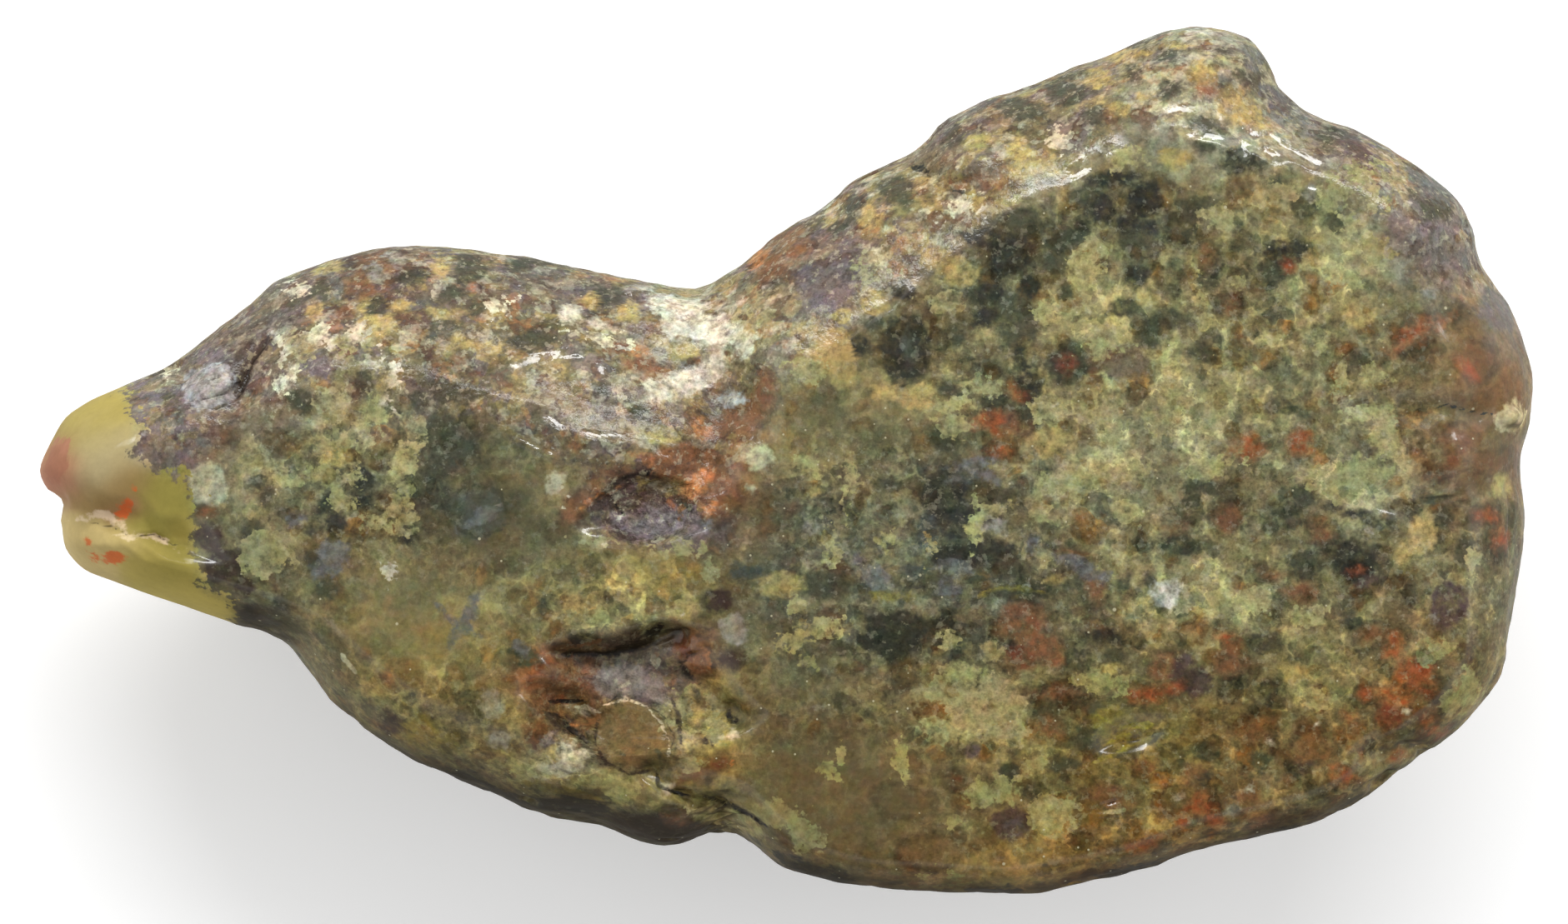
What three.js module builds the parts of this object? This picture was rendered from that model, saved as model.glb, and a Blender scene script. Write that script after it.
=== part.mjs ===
// A polished coprolite: fossil dung turned to stone, one solid piece of a large lobe, a waist and a small
// lobe that ends in a blunt nose. Millimetres, +Z up. The stone lies on its rounded underside, on a small
// flat spot at z = 0, with its polished face up. X runs along its length, from the nose at -X to the broad
// end at +X. The origin is at the base, under the centre of the stone's box.
import * as THREE from "three";
import { mergeVertices } from "three/addons/utils/BufferGeometryUtils.js";

// Driving dimensions
const THICKNESS = 17.5; // from the resting spot to the crown of the polished face
const FACE_CROWN = { x: 9, y: -3 }; // where the polished face is highest
const FACE_FALL = { x: 0.0024, y: 0.0022 }; // how fast it falls away from there, mm per mm squared
const UNDERSIDE_CENTRE = { x: 4.6, y: -1.6 }; // the middle of the resting spot
const UNDERSIDE_CUT = 0.6; // how much of the underside's swell the resting spot has worn off
const UNDERSIDE_FULLNESS = 0.9; // 1 is an ellipse from rim to base, less is fuller
const SPREAD = { x: 15, y: 5 }; // pulls the mesh's meridians apart along the stone's length
const FACE_SHARE = 0.22; // how far below the sphere's equator the rim is taken from, in radians
const DETAIL = 21; // the sphere's subdivision: 20 * (DETAIL + 1) ** 2 triangles
const RIM_SAMPLES = 600;
const RIM_SOFTENING = 9; // samples either way over which the rim's height and shoulder are evened out
const GIRTH_SOFTENING = 30; // the same for its course, which is softer below the rim than at it
const GIRTH_LUMPS = 1.5; // how far the side is drawn in between its lumps, mm

// The widest contour, seen from above, anticlockwise from the broad end. Each stretch has the height of
// that contour and the shoulder: how far in from it the polished face begins. A crisp shoulder (under 1)
// meets the face at an angle, and one of 1 rolls into it.
const RIM = [
  {
    stretch: "upper bulge of the broad end",
    height: 11.8,
    shoulder: 3.2,
    crisp: 0.95,
    points: [[29.95, 2.6], [29.8, 3.8], [29.5, 5.1], [28.9, 6.4], [28.3, 7.1], [27.85, 7.8]],
  },
  {
    stretch: "upper right shoulder",
    height: 12,
    shoulder: 2.3,
    crisp: 0.75,
    points: [[27.6, 9.1], [26.9, 10.4], [25.4, 11.7], [23.1, 13.05], [21.3, 13.7], [20.2, 14.35]],
  },
  {
    stretch: "knob",
    height: 11.5,
    shoulder: 4,
    crisp: 0.75,
    points: [[19.7, 15.1], [19.5, 15.7], [19, 16.5], [18.2, 17], [16.6, 17.35], [15.6, 17.2], [14.3, 16.85]],
  },
  {
    stretch: "upper slope of the large lobe",
    height: 10.8,
    shoulder: 4.6,
    crisp: 0.72,
    points: [[13.3, 16.3], [11.6, 15.65], [9.8, 14.9], [8.3, 14.5], [6.9, 13.85], [6.3, 13.5], [5.7, 12.8]],
  },
  {
    stretch: "steps down to the waist",
    height: 10.4,
    shoulder: 5,
    crisp: 0.75,
    points: [[5.1, 12.2], [3.6, 11.65], [2.9, 11.3], [2.2, 10.7], [1.6, 10.05], [0.3, 9.35], [-1.6, 7.9]],
  },
  {
    stretch: "upper notch of the waist",
    height: 10.2,
    shoulder: 4.8,
    crisp: 0.85,
    points: [[-2.4, 7.4], [-3, 6.85], [-3.7, 6.72], [-5, 7]],
  },
  {
    stretch: "back of the small lobe",
    height: 9.4,
    shoulder: 6.8,
    crisp: 0.75,
    points: [[-8.4, 7.7], [-12.3, 8.4], [-13.7, 8.6], [-16, 8.5], [-18.4, 7.9], [-19.8, 7.4], [-20.5, 7.05]],
  },
  {
    stretch: "fall to the nose",
    height: 9.4,
    shoulder: 4,
    crisp: 0.85,
    points: [[-21.7, 6], [-23, 5.1], [-24.2, 4.05], [-25.5, 3.4]],
  },
  {
    stretch: "nose",
    height: 9.3,
    shoulder: 2.6,
    crisp: 1,
    points: [[-27.1, 2.7], [-28.4, 2.1], [-29.1, 1.4], [-29.7, 0.1], [-29.95, -0.6], [-29.7, -1.25]],
  },
  {
    stretch: "split below the nose",
    height: 9.4,
    shoulder: 1.6,
    crisp: 1,
    points: [[-29.25, -1.65], [-29.05, -2.2], [-29, -2.8]],
  },
  {
    stretch: "lower lip",
    height: 9.8,
    shoulder: 1.7,
    crisp: 1,
    points: [[-28.85, -3.6], [-28.4, -4.25], [-26.7, -4.95], [-24.9, -5.6], [-22.4, -6.45], [-20.4, -7.05]],
  },
  {
    stretch: "belly of the small lobe",
    height: 11.2,
    shoulder: 2.8,
    crisp: 0.95,
    points: [[-19.6, -7.7], [-18.4, -9.3], [-16.4, -11.1], [-14.4, -12.25], [-12, -13.2], [-9.7, -14.2]],
  },
  {
    stretch: "lump before the lower notch",
    height: 11.8,
    shoulder: 2.6,
    crisp: 0.95,
    points: [[-8.4, -14.5], [-7.6, -14.5], [-6.4, -15.05], [-5.2, -15.4], [-4, -15.38], [-3.1, -14.95]],
  },
  {
    stretch: "lower notch",
    height: 12.8,
    shoulder: 1.8,
    crisp: 0.95,
    points: [[-2.4, -14.7], [-1.7, -15.05], [-1, -15.6]],
  },
  {
    stretch: "lower edge of the large lobe",
    height: 14.4,
    shoulder: 1.2,
    crisp: 0.85,
    points: [[-0.3, -16.2], [1, -16.6], [3.6, -17.1], [6, -17.2], [9.3, -17.35], [11.8, -16.95], [14.6, -16.3]],
  },
  {
    stretch: "lower right edge",
    height: 14.2,
    shoulder: 1.3,
    crisp: 0.85,
    points: [[16.4, -15.6], [19.2, -14.95], [21.8, -14.25], [23, -13.6], [24, -12.9], [24.7, -12.25]],
  },
  {
    stretch: "lower right corner",
    height: 13.6,
    shoulder: 1.8,
    crisp: 0.9,
    points: [[25.7, -11.6], [26.8, -10.9], [28, -9.6], [28.65, -8.4], [28.95, -7]],
  },
  {
    stretch: "lower bulges of the broad end",
    height: 12.3,
    shoulder: 2.8,
    crisp: 1,
    points: [[29.2, -5.5], [29.5, -3.6], [29.63, -2.3], [29.42, -1.2], [29.42, -0.2], [29.55, 0.8], [29.85, 1.7]],
  },
];

// What stands out of the polished face and its shoulders or is sunk into them: an ellipse of half lengths
// `long` and `wide`, turned by `turn` degrees, raised by `lift`. `rim` is the share of it that is slope.
const FACE_FORMS = [
  { form: "back of the small lobe", x: -10.6, y: 2.6, long: 4.4, wide: 2.1, turn: 20, lift: 0.35, rim: 0.8 },
  { form: "knuckle beside it", x: -7.2, y: 2.9, long: 2, wide: 1.3, turn: -24, lift: 0.35, rim: 0.8 },
  { form: "ledge under the knuckle", x: -8, y: 0.7, long: 3, wide: 0.9, turn: -20, lift: 0.3, rim: 0.6 },
  { form: "knuckle by the waist", x: -6, y: 5.6, long: 1.2, wide: 0.9, turn: -20, lift: 0.3, rim: 0.9 },
  { form: "dip behind the back", x: -17, y: 1.8, long: 3, wide: 2, turn: 10, lift: -0.3, rim: 1 },
  { form: "hollow above the nose", x: -21.4, y: 3.2, long: 1, wide: 2.6, turn: -24, lift: -0.7, rim: 0.8 },
  { form: "clear grain by the hollow", x: -22.9, y: 3.1, long: 1.1, wide: 0.9, turn: 20, lift: 0.45, rim: 0.5 },
  { form: "saddle of the waist", x: -2.6, y: 3.2, long: 2.6, wide: 4.4, turn: -12, lift: -0.7, rim: 1 },
  { form: "rusty pit", x: -5.5, y: -2, long: 2.3, wide: 1.5, turn: 14, lift: -1.1, rim: 0.5 },
  { form: "rusty pit's upper end", x: -3.2, y: -0.6, long: 1.6, wide: 1.3, turn: 40, lift: -0.6, rim: 0.7 },
  { form: "cavity", x: -6.3, y: -9.5, long: 3.9, wide: 2.3, turn: 6, lift: -1, rim: 0.45 },
  { form: "cavity's right arm", x: -2.9, y: -9.9, long: 1.7, wide: 1.5, turn: -20, lift: -0.6, rim: 0.6 },
  { form: "pebble in the cavity", x: -6.15, y: -10.95, long: 1.7, wide: 1.6, turn: 0, lift: 0.9, rim: 0.4 },
  { form: "rib in the cavity", x: -8.6, y: -8.8, long: 1.5, wide: 0.6, turn: -8, lift: 0.45, rim: 0.7 },
  { form: "step at the upper edge", x: 7.2, y: 11.8, long: 1.7, wide: 0.9, turn: 24, lift: 0.5, rim: 0.5 },
  { form: "terrace inside the knob", x: 17.6, y: 12.6, long: 3.4, wide: 0.8, turn: -16, lift: 0.3, rim: 0.6 },
  { form: "hollow under the knob", x: 20.9, y: 13.2, long: 2, wide: 1.1, turn: -35, lift: -0.5, rim: 1 },
  { form: "upper right hollow", x: 26.2, y: 7.9, long: 2.6, wide: 1, turn: 6, lift: -0.5, rim: 1 },
  { form: "upper bulge", x: 26.8, y: 4, long: 3.2, wide: 2, turn: -14, lift: 0.35, rim: 0.9 },
  { form: "middle bulge", x: 26.7, y: 0, long: 3.1, wide: 1.5, turn: -2, lift: 0.25, rim: 0.9 },
  { form: "lower bulge", x: 27.9, y: -3.1, long: 1.6, wide: 1.4, turn: 0, lift: 0.2, rim: 0.9 },
  { form: "leaf-shaped hollow", x: 13.9, y: -11, long: 2.2, wide: 0.8, turn: 18, lift: -0.3, rim: 0.8 },
  { form: "clear spot in the belly", x: -2, y: -6.8, long: 1.1, wide: 1.1, turn: 0, lift: -0.2, rim: 0.8 },
  { form: "upper side of the split nose", x: -27, y: -0.4, long: 2.6, wide: 1.6, turn: -12, lift: 0.3, rim: 0.9 },
];

// Cracks and furrows of the face, as lines of points with a half width and a depth.
const FURROWS = [
  { crack: "split nose", width: 0.8, depth: 0.6, points: [[-29.3, -2.1], [-27.6, -2.15], [-26, -2.6], [-23.6, -3.5]] },
  { crack: "waist", width: 1.6, depth: 0.4, points: [[-3.2, 5.6], [-2.6, 3.6], [-2.2, 1.8], [-2.8, 0.4]] },
  {
    crack: "cavity's upper rim",
    width: 0.75,
    depth: 0.8,
    points: [[-8.7, -7.8], [-6.7, -7.5], [-4.8, -7], [-3.6, -7.5], [-2.7, -9]],
  },
  { crack: "behind the rib", width: 0.7, depth: 0.7, points: [[-9.6, -9.55], [-7.9, -9.6], [-7.5, -10.9]] },
  { crack: "cavity's end", width: 0.7, depth: 0.5, points: [[-2.3, -10.2], [-1.7, -10.5]] },
  { crack: "lower notch", width: 0.8, depth: 0.6, points: [[-4.8, -12.5], [-3.9, -13.4], [-2.6, -14.3]] },
  { crack: "filled crack", width: 0.7, depth: 0.3, points: [[-3.7, -13.4], [-1.3, -14.8]] },
  { crack: "above the middle bulge", width: 0.7, depth: 0.35, points: [[23, 2.1], [26, 1.9], [29.6, 1.5]] },
  { crack: "below the middle bulge", width: 0.8, depth: 0.3, points: [[23.6, -1.7], [27.4, -1.6], [29.4, -0.9]] },
  { crack: "lower right notch", width: 0.8, depth: 0.45, points: [[23.6, -11.6], [25.4, -11.7]] },
  { crack: "under the step", width: 0.7, depth: 0.35, points: [[4.9, 12], [6.2, 11.3], [7.9, 10.4]] },
];

// The same for the underside, where `lift` is away from the stone's middle.
const UNDERSIDE_FORMS = [
  { form: "swell of the large lobe", x: 19, y: 4, long: 8, wide: 6, turn: 20, lift: 0.9, rim: 1 },
  { form: "swell near the knob", x: 13, y: 10.5, long: 5, wide: 3.4, turn: 0, lift: 0.8, rim: 1 },
  { form: "swell of the lower edge", x: 16, y: -9.5, long: 7, wide: 3.6, turn: -14, lift: 0.8, rim: 1 },
  { form: "hollow of the waist", x: -3.5, y: 2.6, long: 3, wide: 5, turn: -18, lift: -1.1, rim: 1 },
  { form: "lower hollow of the waist", x: -2, y: -11, long: 2.4, wide: 4, turn: 24, lift: -1, rim: 1 },
  { form: "swell of the small lobe", x: -12, y: -3, long: 6, wide: 5, turn: 10, lift: 1, rim: 1 },
  { form: "knuckle of the small lobe", x: -17.5, y: 2.6, long: 2.8, wide: 2.2, turn: 0, lift: 0.7, rim: 0.9 },
  { form: "pit behind the nose", x: -21.5, y: -2, long: 1.7, wide: 1.3, turn: 30, lift: -0.6, rim: 0.6 },
  { form: "pit of the large lobe", x: 20.5, y: -3.6, long: 2.2, wide: 1.6, turn: -30, lift: -0.8, rim: 0.6 },
  { form: "pit by the knob", x: 17, y: 7.6, long: 1.6, wide: 1.3, turn: 0, lift: -0.6, rim: 0.7 },
];

const smooth = (from, to, value) => THREE.MathUtils.smoothstep(value, from, to);

// A random number from -1 to 1 for each point of a grid of whole numbers.
function gridValue(i, j, k) {
  const s = Math.sin(i * 127.1 + j * 311.7 + k * 74.7) * 43758.5453;
  return 2 * (s - Math.floor(s)) - 1;
}

// Smooth noise from -1 to 1, with one swell per `size` millimetres.
function noise(point, size) {
  const cell = [point.x / size, point.y / size, point.z / size];
  const low = cell.map(Math.floor);
  const share = cell.map((c, axis) => smooth(0, 1, c - low[axis]));
  let sum = 0;
  for (const i of [0, 1])
    for (const j of [0, 1])
      for (const k of [0, 1]) {
        const weight = [i, j, k].reduce((w, on, axis) => w * (on ? share[axis] : 1 - share[axis]), 1);
        sum += weight * gridValue(low[0] + i, low[1] + j, low[2] + k);
      }
  return sum;
}

// The rim as evenly spaced samples { x, y, height, shoulder, crisp }, its heights and shoulders evened out.
function rimSamples() {
  const drawn = RIM.flatMap((s) => s.points.map(([x, y]) => ({ x, y, ...s })));
  const corners = drawn.map((p) => new THREE.Vector3(p.x, p.y, 0));
  const outline = new THREE.CatmullRomCurve3(corners, true, "centripetal");
  outline.arcLengthDivisions = 4000;
  const samples = Array.from({ length: RIM_SAMPLES }, (_, i) => {
    const share = outline.getUtoTmapping(i / RIM_SAMPLES);
    const at = outline.getPoint(share);
    const from = drawn[Math.floor(share * drawn.length) % drawn.length];
    return { x: at.x, y: at.y, height: from.height, shoulder: from.shoulder, crisp: from.crisp };
  });
  const even = (name, i, reach) => {
    let sum = 0;
    for (let k = -reach; k <= reach; k++)
      sum += samples[(i + k + RIM_SAMPLES) % RIM_SAMPLES][name];
    return sum / (2 * reach + 1);
  };
  return samples.map((s, i) => ({
    ...s,
    height: even("height", i, RIM_SOFTENING),
    shoulder: even("shoulder", i, RIM_SOFTENING),
    crisp: even("crisp", i, RIM_SOFTENING),
    girthX: even("x", i, GIRTH_SOFTENING),
    girthY: even("y", i, GIRTH_SOFTENING),
  }));
}

const rim = rimSamples();

// The rim at a share of the way round, from 0 to 1.
function rimAt(share) {
  const place = share * RIM_SAMPLES;
  const low = Math.floor(place) % RIM_SAMPLES;
  const high = (low + 1) % RIM_SAMPLES;
  const part = place - Math.floor(place);
  const names = Object.keys(rim[low]);
  return Object.fromEntries(
    names.map((name) => [name, THREE.MathUtils.lerp(rim[low][name], rim[high][name], part)]),
  );
}

// The distance from a point to a line between two others, seen from above.
function lineDistance(x, y, [ax, ay], [bx, by]) {
  const length2 = (bx - ax) ** 2 + (by - ay) ** 2;
  const share = THREE.MathUtils.clamp(((x - ax) * (bx - ax) + (y - ay) * (by - ay)) / length2, 0, 1);
  return Math.hypot(x - ax - share * (bx - ax), y - ay - share * (by - ay));
}

function rimDistance(x, y) {
  let least = Infinity;
  rim.forEach((s, i) => {
    const next = rim[(i + 1) % RIM_SAMPLES];
    least = Math.min(least, lineDistance(x, y, [s.x, s.y], [next.x, next.y]));
  });
  return least;
}

// The sum of the forms' heights at a point.
function formsHeight(forms, x, y) {
  return forms.reduce((sum, f) => {
    const angle = THREE.MathUtils.degToRad(f.turn);
    const along = (x - f.x) * Math.cos(angle) + (y - f.y) * Math.sin(angle);
    const across = (y - f.y) * Math.cos(angle) - (x - f.x) * Math.sin(angle);
    const out = Math.hypot(along / f.long, across / f.wide);
    return sum + f.lift * (1 - smooth(1 - f.rim, 1, out));
  }, 0);
}

function furrowsDepth(x, y) {
  return FURROWS.reduce((sum, f) => {
    const away = Math.min(...f.points.slice(1).map((p, i) => lineDistance(x, y, f.points[i], p)));
    return sum + f.depth * (1 - smooth(0, f.width, away));
  }, 0);
}

// The share of the way up from the rim to the face, from 0 at the rim to 1 where the shoulder ends.
function shoulderRise(distance, { shoulder, crisp }) {
  const quarter = (t) => Math.sqrt(1 - (1 - crisp * t) ** 2);
  return quarter(Math.min(distance / shoulder, 1)) / quarter(1);
}

function faceHeight(x, y, edge) {
  const face =
    THICKNESS - FACE_FALL.x * (x - FACE_CROWN.x) ** 2 - FACE_FALL.y * (y - FACE_CROWN.y) ** 2;
  const rise = shoulderRise(rimDistance(x, y), edge);
  const relief = formsHeight(FACE_FORMS, x, y) - furrowsDepth(x, y) + faceUnevenness(x, y);
  return edge.height + (face - edge.height) * rise + relief * rise;
}

// The face is ground and tumbled, so it only waves a little; its upper slopes keep a rougher skin.
function faceUnevenness(x, y) {
  const upper = smooth(-1, 5, y - 0.28 * x);
  const point = { x, y, z: 3 };
  return 0.1 * noise(point, 7) + (0.05 + 0.16 * upper) * noise(point, 2.7);
}

function undersideHeight(x, y, edge, depth) {
  const swell = (edge.height + UNDERSIDE_CUT) * depth ** UNDERSIDE_FULLNESS;
  const point = { x, y, z: edge.height - swell };
  const relief = formsHeight(UNDERSIDE_FORMS, x, y) + 0.35 * noise(point, 6) + 0.22 * noise(point, 2.9);
  return Math.max(0, edge.height - swell - relief * smooth(0, 0.5, depth));
}

// Where the side stands below a point of the rim: on a softer course, and drawn in between its lumps.
function girthPoint(edge, depth) {
  const softened = smooth(0, 0.7, depth);
  const x = THREE.MathUtils.lerp(edge.x, edge.girthX, softened);
  const y = THREE.MathUtils.lerp(edge.y, edge.girthY, softened);
  const place = { x, y, z: edge.height * (1 - depth) };
  const lumps = GIRTH_LUMPS * (0.65 + 0.6 * noise(place, 5.2) + 0.3 * noise(place, 2.6));
  const inward = (lumps * smooth(0, 0.3, depth)) / Math.hypot(x - UNDERSIDE_CENTRE.x, y - UNDERSIDE_CENTRE.y);
  return {
    x: THREE.MathUtils.lerp(x, UNDERSIDE_CENTRE.x, inward),
    y: THREE.MathUtils.lerp(y, UNDERSIDE_CENTRE.y, inward),
  };
}

// A unit sphere's point moved to the stone's surface. Its longitude picks the rim's point, and its latitude
// runs from the rim to the middle along a bent meridian.
function stonePoint(p) {
  const share = (Math.atan2(p.y, p.x) / (2 * Math.PI) + 1) % 1;
  const edge = rimAt(share);
  const above = Math.asin(THREE.MathUtils.clamp(p.z, -1, 1)) + FACE_SHARE;
  const latitude = (above * Math.PI) / 2 / (Math.PI / 2 + Math.sign(above) * FACE_SHARE);
  const out = Math.cos(latitude);
  const bend = {
    x: UNDERSIDE_CENTRE.x + SPREAD.x * Math.cos(share * 2 * Math.PI),
    y: UNDERSIDE_CENTRE.y + SPREAD.y * Math.sin(share * 2 * Math.PI),
  };
  const end = above >= 0 ? edge : girthPoint(edge, Math.sin(-latitude));
  const meridian = (axis) =>
    (1 - out) ** 2 * UNDERSIDE_CENTRE[axis] + 2 * out * (1 - out) * bend[axis] + out ** 2 * end[axis];
  const x = meridian("x");
  const y = meridian("y");
  const z =
    above >= 0 ? faceHeight(x, y, edge) : undersideHeight(x, y, edge, Math.sin(-latitude));
  return new THREE.Vector3(x, y, z);
}

function stoneGeometry() {
  const sphere = new THREE.IcosahedronGeometry(1, DETAIL);
  sphere.deleteAttribute("normal");
  sphere.deleteAttribute("uv");
  const geometry = mergeVertices(sphere, 1e-4);
  const position = geometry.getAttribute("position");
  const point = new THREE.Vector3();
  for (let i = 0; i < position.count; i++) {
    point.fromBufferAttribute(position, i).normalize();
    position.setXYZ(i, ...stonePoint(point));
  }
  geometry.computeVertexNormals();
  return geometry;
}

const coprolite = new THREE.Mesh(
  stoneGeometry(),
  new THREE.MeshStandardMaterial({ color: 0x7a6a3c, roughness: 0.35, metalness: 0 }),
);
coprolite.name = "coprolite";

const part = new THREE.Group();
part.add(coprolite);

export default part;
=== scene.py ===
"""A polished coprolite: fossil dung turned to agate and jasper, on a white board in soft window light.

The stone is one piece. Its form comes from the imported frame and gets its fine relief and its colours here.
Lists of places are written as text, "x y, x y", in mm as seen from above.
"""

import math

import bmesh
import bpy
import numpy as np
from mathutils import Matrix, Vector
from mathutils.bvhtree import BVHTree


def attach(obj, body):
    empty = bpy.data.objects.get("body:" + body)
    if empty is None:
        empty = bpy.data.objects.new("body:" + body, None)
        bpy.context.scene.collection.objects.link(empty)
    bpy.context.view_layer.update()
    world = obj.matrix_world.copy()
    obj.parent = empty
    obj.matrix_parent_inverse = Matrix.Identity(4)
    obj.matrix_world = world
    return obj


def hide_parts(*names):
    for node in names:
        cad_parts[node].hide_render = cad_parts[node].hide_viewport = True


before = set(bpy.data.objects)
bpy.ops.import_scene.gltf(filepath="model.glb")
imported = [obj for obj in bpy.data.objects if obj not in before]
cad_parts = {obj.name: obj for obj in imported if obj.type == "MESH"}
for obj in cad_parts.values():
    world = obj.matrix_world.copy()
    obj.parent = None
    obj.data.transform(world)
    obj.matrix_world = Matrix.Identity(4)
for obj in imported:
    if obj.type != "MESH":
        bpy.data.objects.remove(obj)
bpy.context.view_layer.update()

# ---------------------------------------------------------------------------------------------------------
# The stone: one solid piece of agatised dung, ground and tumbled to a gloss on its face and only smoothed by
# the tumbling on its upper slopes, sides and back. Its fine relief is pressed into a fine copy of the frame's
# solid: cracks, ledges, pits, a cavity with a pebble in it, and ridges that the polish has rounded.

MM = 0.001
FINE_CUTS = 3  # new points on each edge of the solid
FINEST_ABOVE = 7  # the finest places are cut once more above this height, mm
FACET_SMOOTHINGS = 8  # rounds of smoothing that take the solid's facets away
REST_MARGIN = 0.02  # how near to the table a point may come and still be left alone, mm

# Cracks and ledges: half width of the steep side and of the gentle one, depth in mm, and course. The steep
# side is on the left of the course.
LEDGES = [
    ("split nose", 0.1, 0.3, 0.12, """-29.2 -2.3, -28.3 -2.65, -27.6 -2.55, -26.9 -2.65, -26.2 -3,
        -25.2 -3.05, -24.3 -3.35, -23.6 -3.55"""),
    ("crevice above the nose", 0.2, 0.4, 0.2, """-20.5 5.1, -20.9 4.4, -21.3 3.9, -21.5 3.3, -21.8 2.7,
        -22.3 2.2"""),
    ("around the clear grain", 0.12, 0.2, 0.12, "-24.1 3.7, -24.2 2.9, -23.6 2.3, -22.6 2, -21.9 2.4"),
    ("cavity's upper edge", 0.2, 1.9, 0.42, """-8.8 -7.9, -7.4 -7.8, -6.4 -7.75, -5.2 -7.3, -4.4 -6.9,
        -3.6 -6.8"""),
    ("cavity's corner", 0.2, 0.8, 0.2, "-4.4 -8.9, -3.9 -7.9, -3 -7.6"),
    ("second ledge", 0.1, 0.25, 0.05, "-9.8 -9.5, -8.9 -9.5, -7.9 -9.6, -7 -9.5"),
    ("left of the pebble", 0.16, 0.3, 0.16, "-7.4 -11.8, -8.3 -10.9, -9.3 -10.2"),
    ("over the pebble", 0.14, 0.12, 0.16, """-7.6 -10, -6.7 -9.4, -5.6 -9.6, -4.8 -10.2, -4.4 -11,
        -4.6 -12"""),
    ("right pit", 0.22, 0.3, 0.3, "-1.6 -10.3, -2.1 -9.8, -2.7 -9.9"),
    ("below the left facets", 0.1, 0.15, 0.1, "-9 -12.15, -9.5 -11.95, -10.4 -12"),
    ("under the pebble", 0.12, 0.16, 0.08, "-3.6 -13.7, -3.9 -13.25, -4.9 -13.1, -4.95 -12.3"),
    ("lower notch", 0.16, 0.4, 0.24, "-3 -13.3, -2.2 -13.8, -1.3 -14.3, -.6 -14.9"),
    ("rusty pit's edge", 0.3, 1.4, 0.15, "-8 -2.1, -7.2 -1.5, -6.6 -.9, -5.9 -.6, -5.2 -.7, -4.4 -1.1"),
    ("rusty pit's hole", 0.18, 0.2, 0.24, "-6.3 -2.3, -6.8 -1.9"),
    ("slit by the waist", 0.1, 0.1, 0.3, "-4.5 1.55, -4.2 1.1, -3.9 .65"),
    ("above the middle bulge", 0.08, 0.5, 0.1, "25.4 2.1, 26.5 2.15, 27.3 1.9, 28.2 1.8"),
    ("below the middle bulge", 0.3, 0.3, 0.1, "24.8 -1.8, 26 -1.5, 27.6 -1.7"),
    ("step's foot", 0.1, 0.3, 0.25, "5 11.8, 5.6 11.6, 6.1 11.3, 6.5 10.9"),
    ("below the step", 0.08, 0.1, 0.16, "7.4 10.2, 7.1 10.6, 6.6 10.7"),
    ("under the leaf", 0.12, 0.2, 0.1, "15.3 -10.7, 14.5 -11, 13.2 -11.3, 12.6 -11.6, 12.2 -12.2"),
    ("under the leaf's tip", 0.12, 0.14, 0.12, "14.4 -10.5, 13.8 -10.7, 13.3 -10.95"),
    ("below the dark arcs", 0.12, 0.12, 0.1, "13.7 -13.5, 13 -13.7, 12.3 -13.8"),
    ("lower right notch", 0.3, 0.3, 0.25, "26.2 -11.5, 25.4 -11.6, 24.2 -11.3"),
]

# Narrow facets that the polish has left along edges. They face the window, so that they catch its light as
# thin bright lines. Half width in mm, and course.
FACETS = [
    ("shoulder of the small lobe", 0.26, "-11.9 2.8, -10.8 3.65, -9.9 4.05, -8 4.35"),
    ("second shoulder", 0.24, "-8.8 3.8, -8.3 3.95, -7.8 3.9, -7.2 3.45, -6.6 3.7"),
    ("edge below the shoulders", 0.12, "-9.75 1.9, -9.2 1.6, -8.7 1.15"),
    ("foot of that edge", 0.1, "-8.1 1.1, -7.5 .95, -6.9 1, -6.3 .85"),
    ("edge of the ground face, left", 0.12, "-11.7 1.75, -10.7 .9, -9.9 .45, -9 .15"),
    ("knuckle by the waist", 0.28, "-6.3 6.1, -6.1 6.5, -5.7 6.65, -5.2 6.65"),
    ("edge of the ground face, waist", 0.1, "2.4 4.8, 3.1 5.2, 3.6 5.6, 4.3 6.1, 4.9 6.9"),
    ("below the cream slope", 0.24, "11.2 11.3, 11.9 11.7, 12.5 12.1, 13.1 12.6"),
    ("lens below the knob, left", 0.16, "15 13.7, 15.6 13.95, 16.4 13.9"),
    ("lens below the knob, upper edge", 0.2, """16.9 13.7, 17.6 13.45, 18.3 13.1, 19.5 12.8, 20.3 12.3,
        21.5 11.6"""),
    ("lens below the knob, lower edge", 0.15, "15.8 13, 17.5 12.7, 18.5 12.5, 19.4 12.2, 20 12"),
    ("right of the lens", 0.12, "20.6 10.9, 21.4 10.7"),
    ("leaf's tip", 0.06, "13.6 -10.85, 14 -10.6"),
    ("below the dark mark", 0.1, "12.2 -14.1, 12.9 -14.05, 13.6 -13.95"),
    ("sparks on the small lobe", 0.13, "-10.9 6.8, -10.6 6.95, -10.3 6.8"),
    ("sparks by the mauve slope", 0.12, "-12.1 5.4, -11.7 5.45, -11.4 5.6"),
    ("sparks by the cream patch", 0.12, "-7.6 4.85, -7.2 4.95, -6.9 5.1"),
    ("sparks by the waist", 0.12, "-4.9 4.8, -4.6 5, -4.4 4.9"),
]

# Where the mesh is made finer still: this near to a facet's course, and round these places, as "x y radius".
NEAR_FACET = 0.45
FINEST = "-6.3 -10 3.9, -5.2 -1.5 2.8, -25.6 -2.8 2.2, -21.7 3.6 1.8, 29 1.7 .9, -2.6 -14 1.4"


def rows(text):
    """The numbers of each item in a list such as "x y, x y"."""
    return [tuple(float(number) for number in item.split()) for item in text.split(",")]


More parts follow.
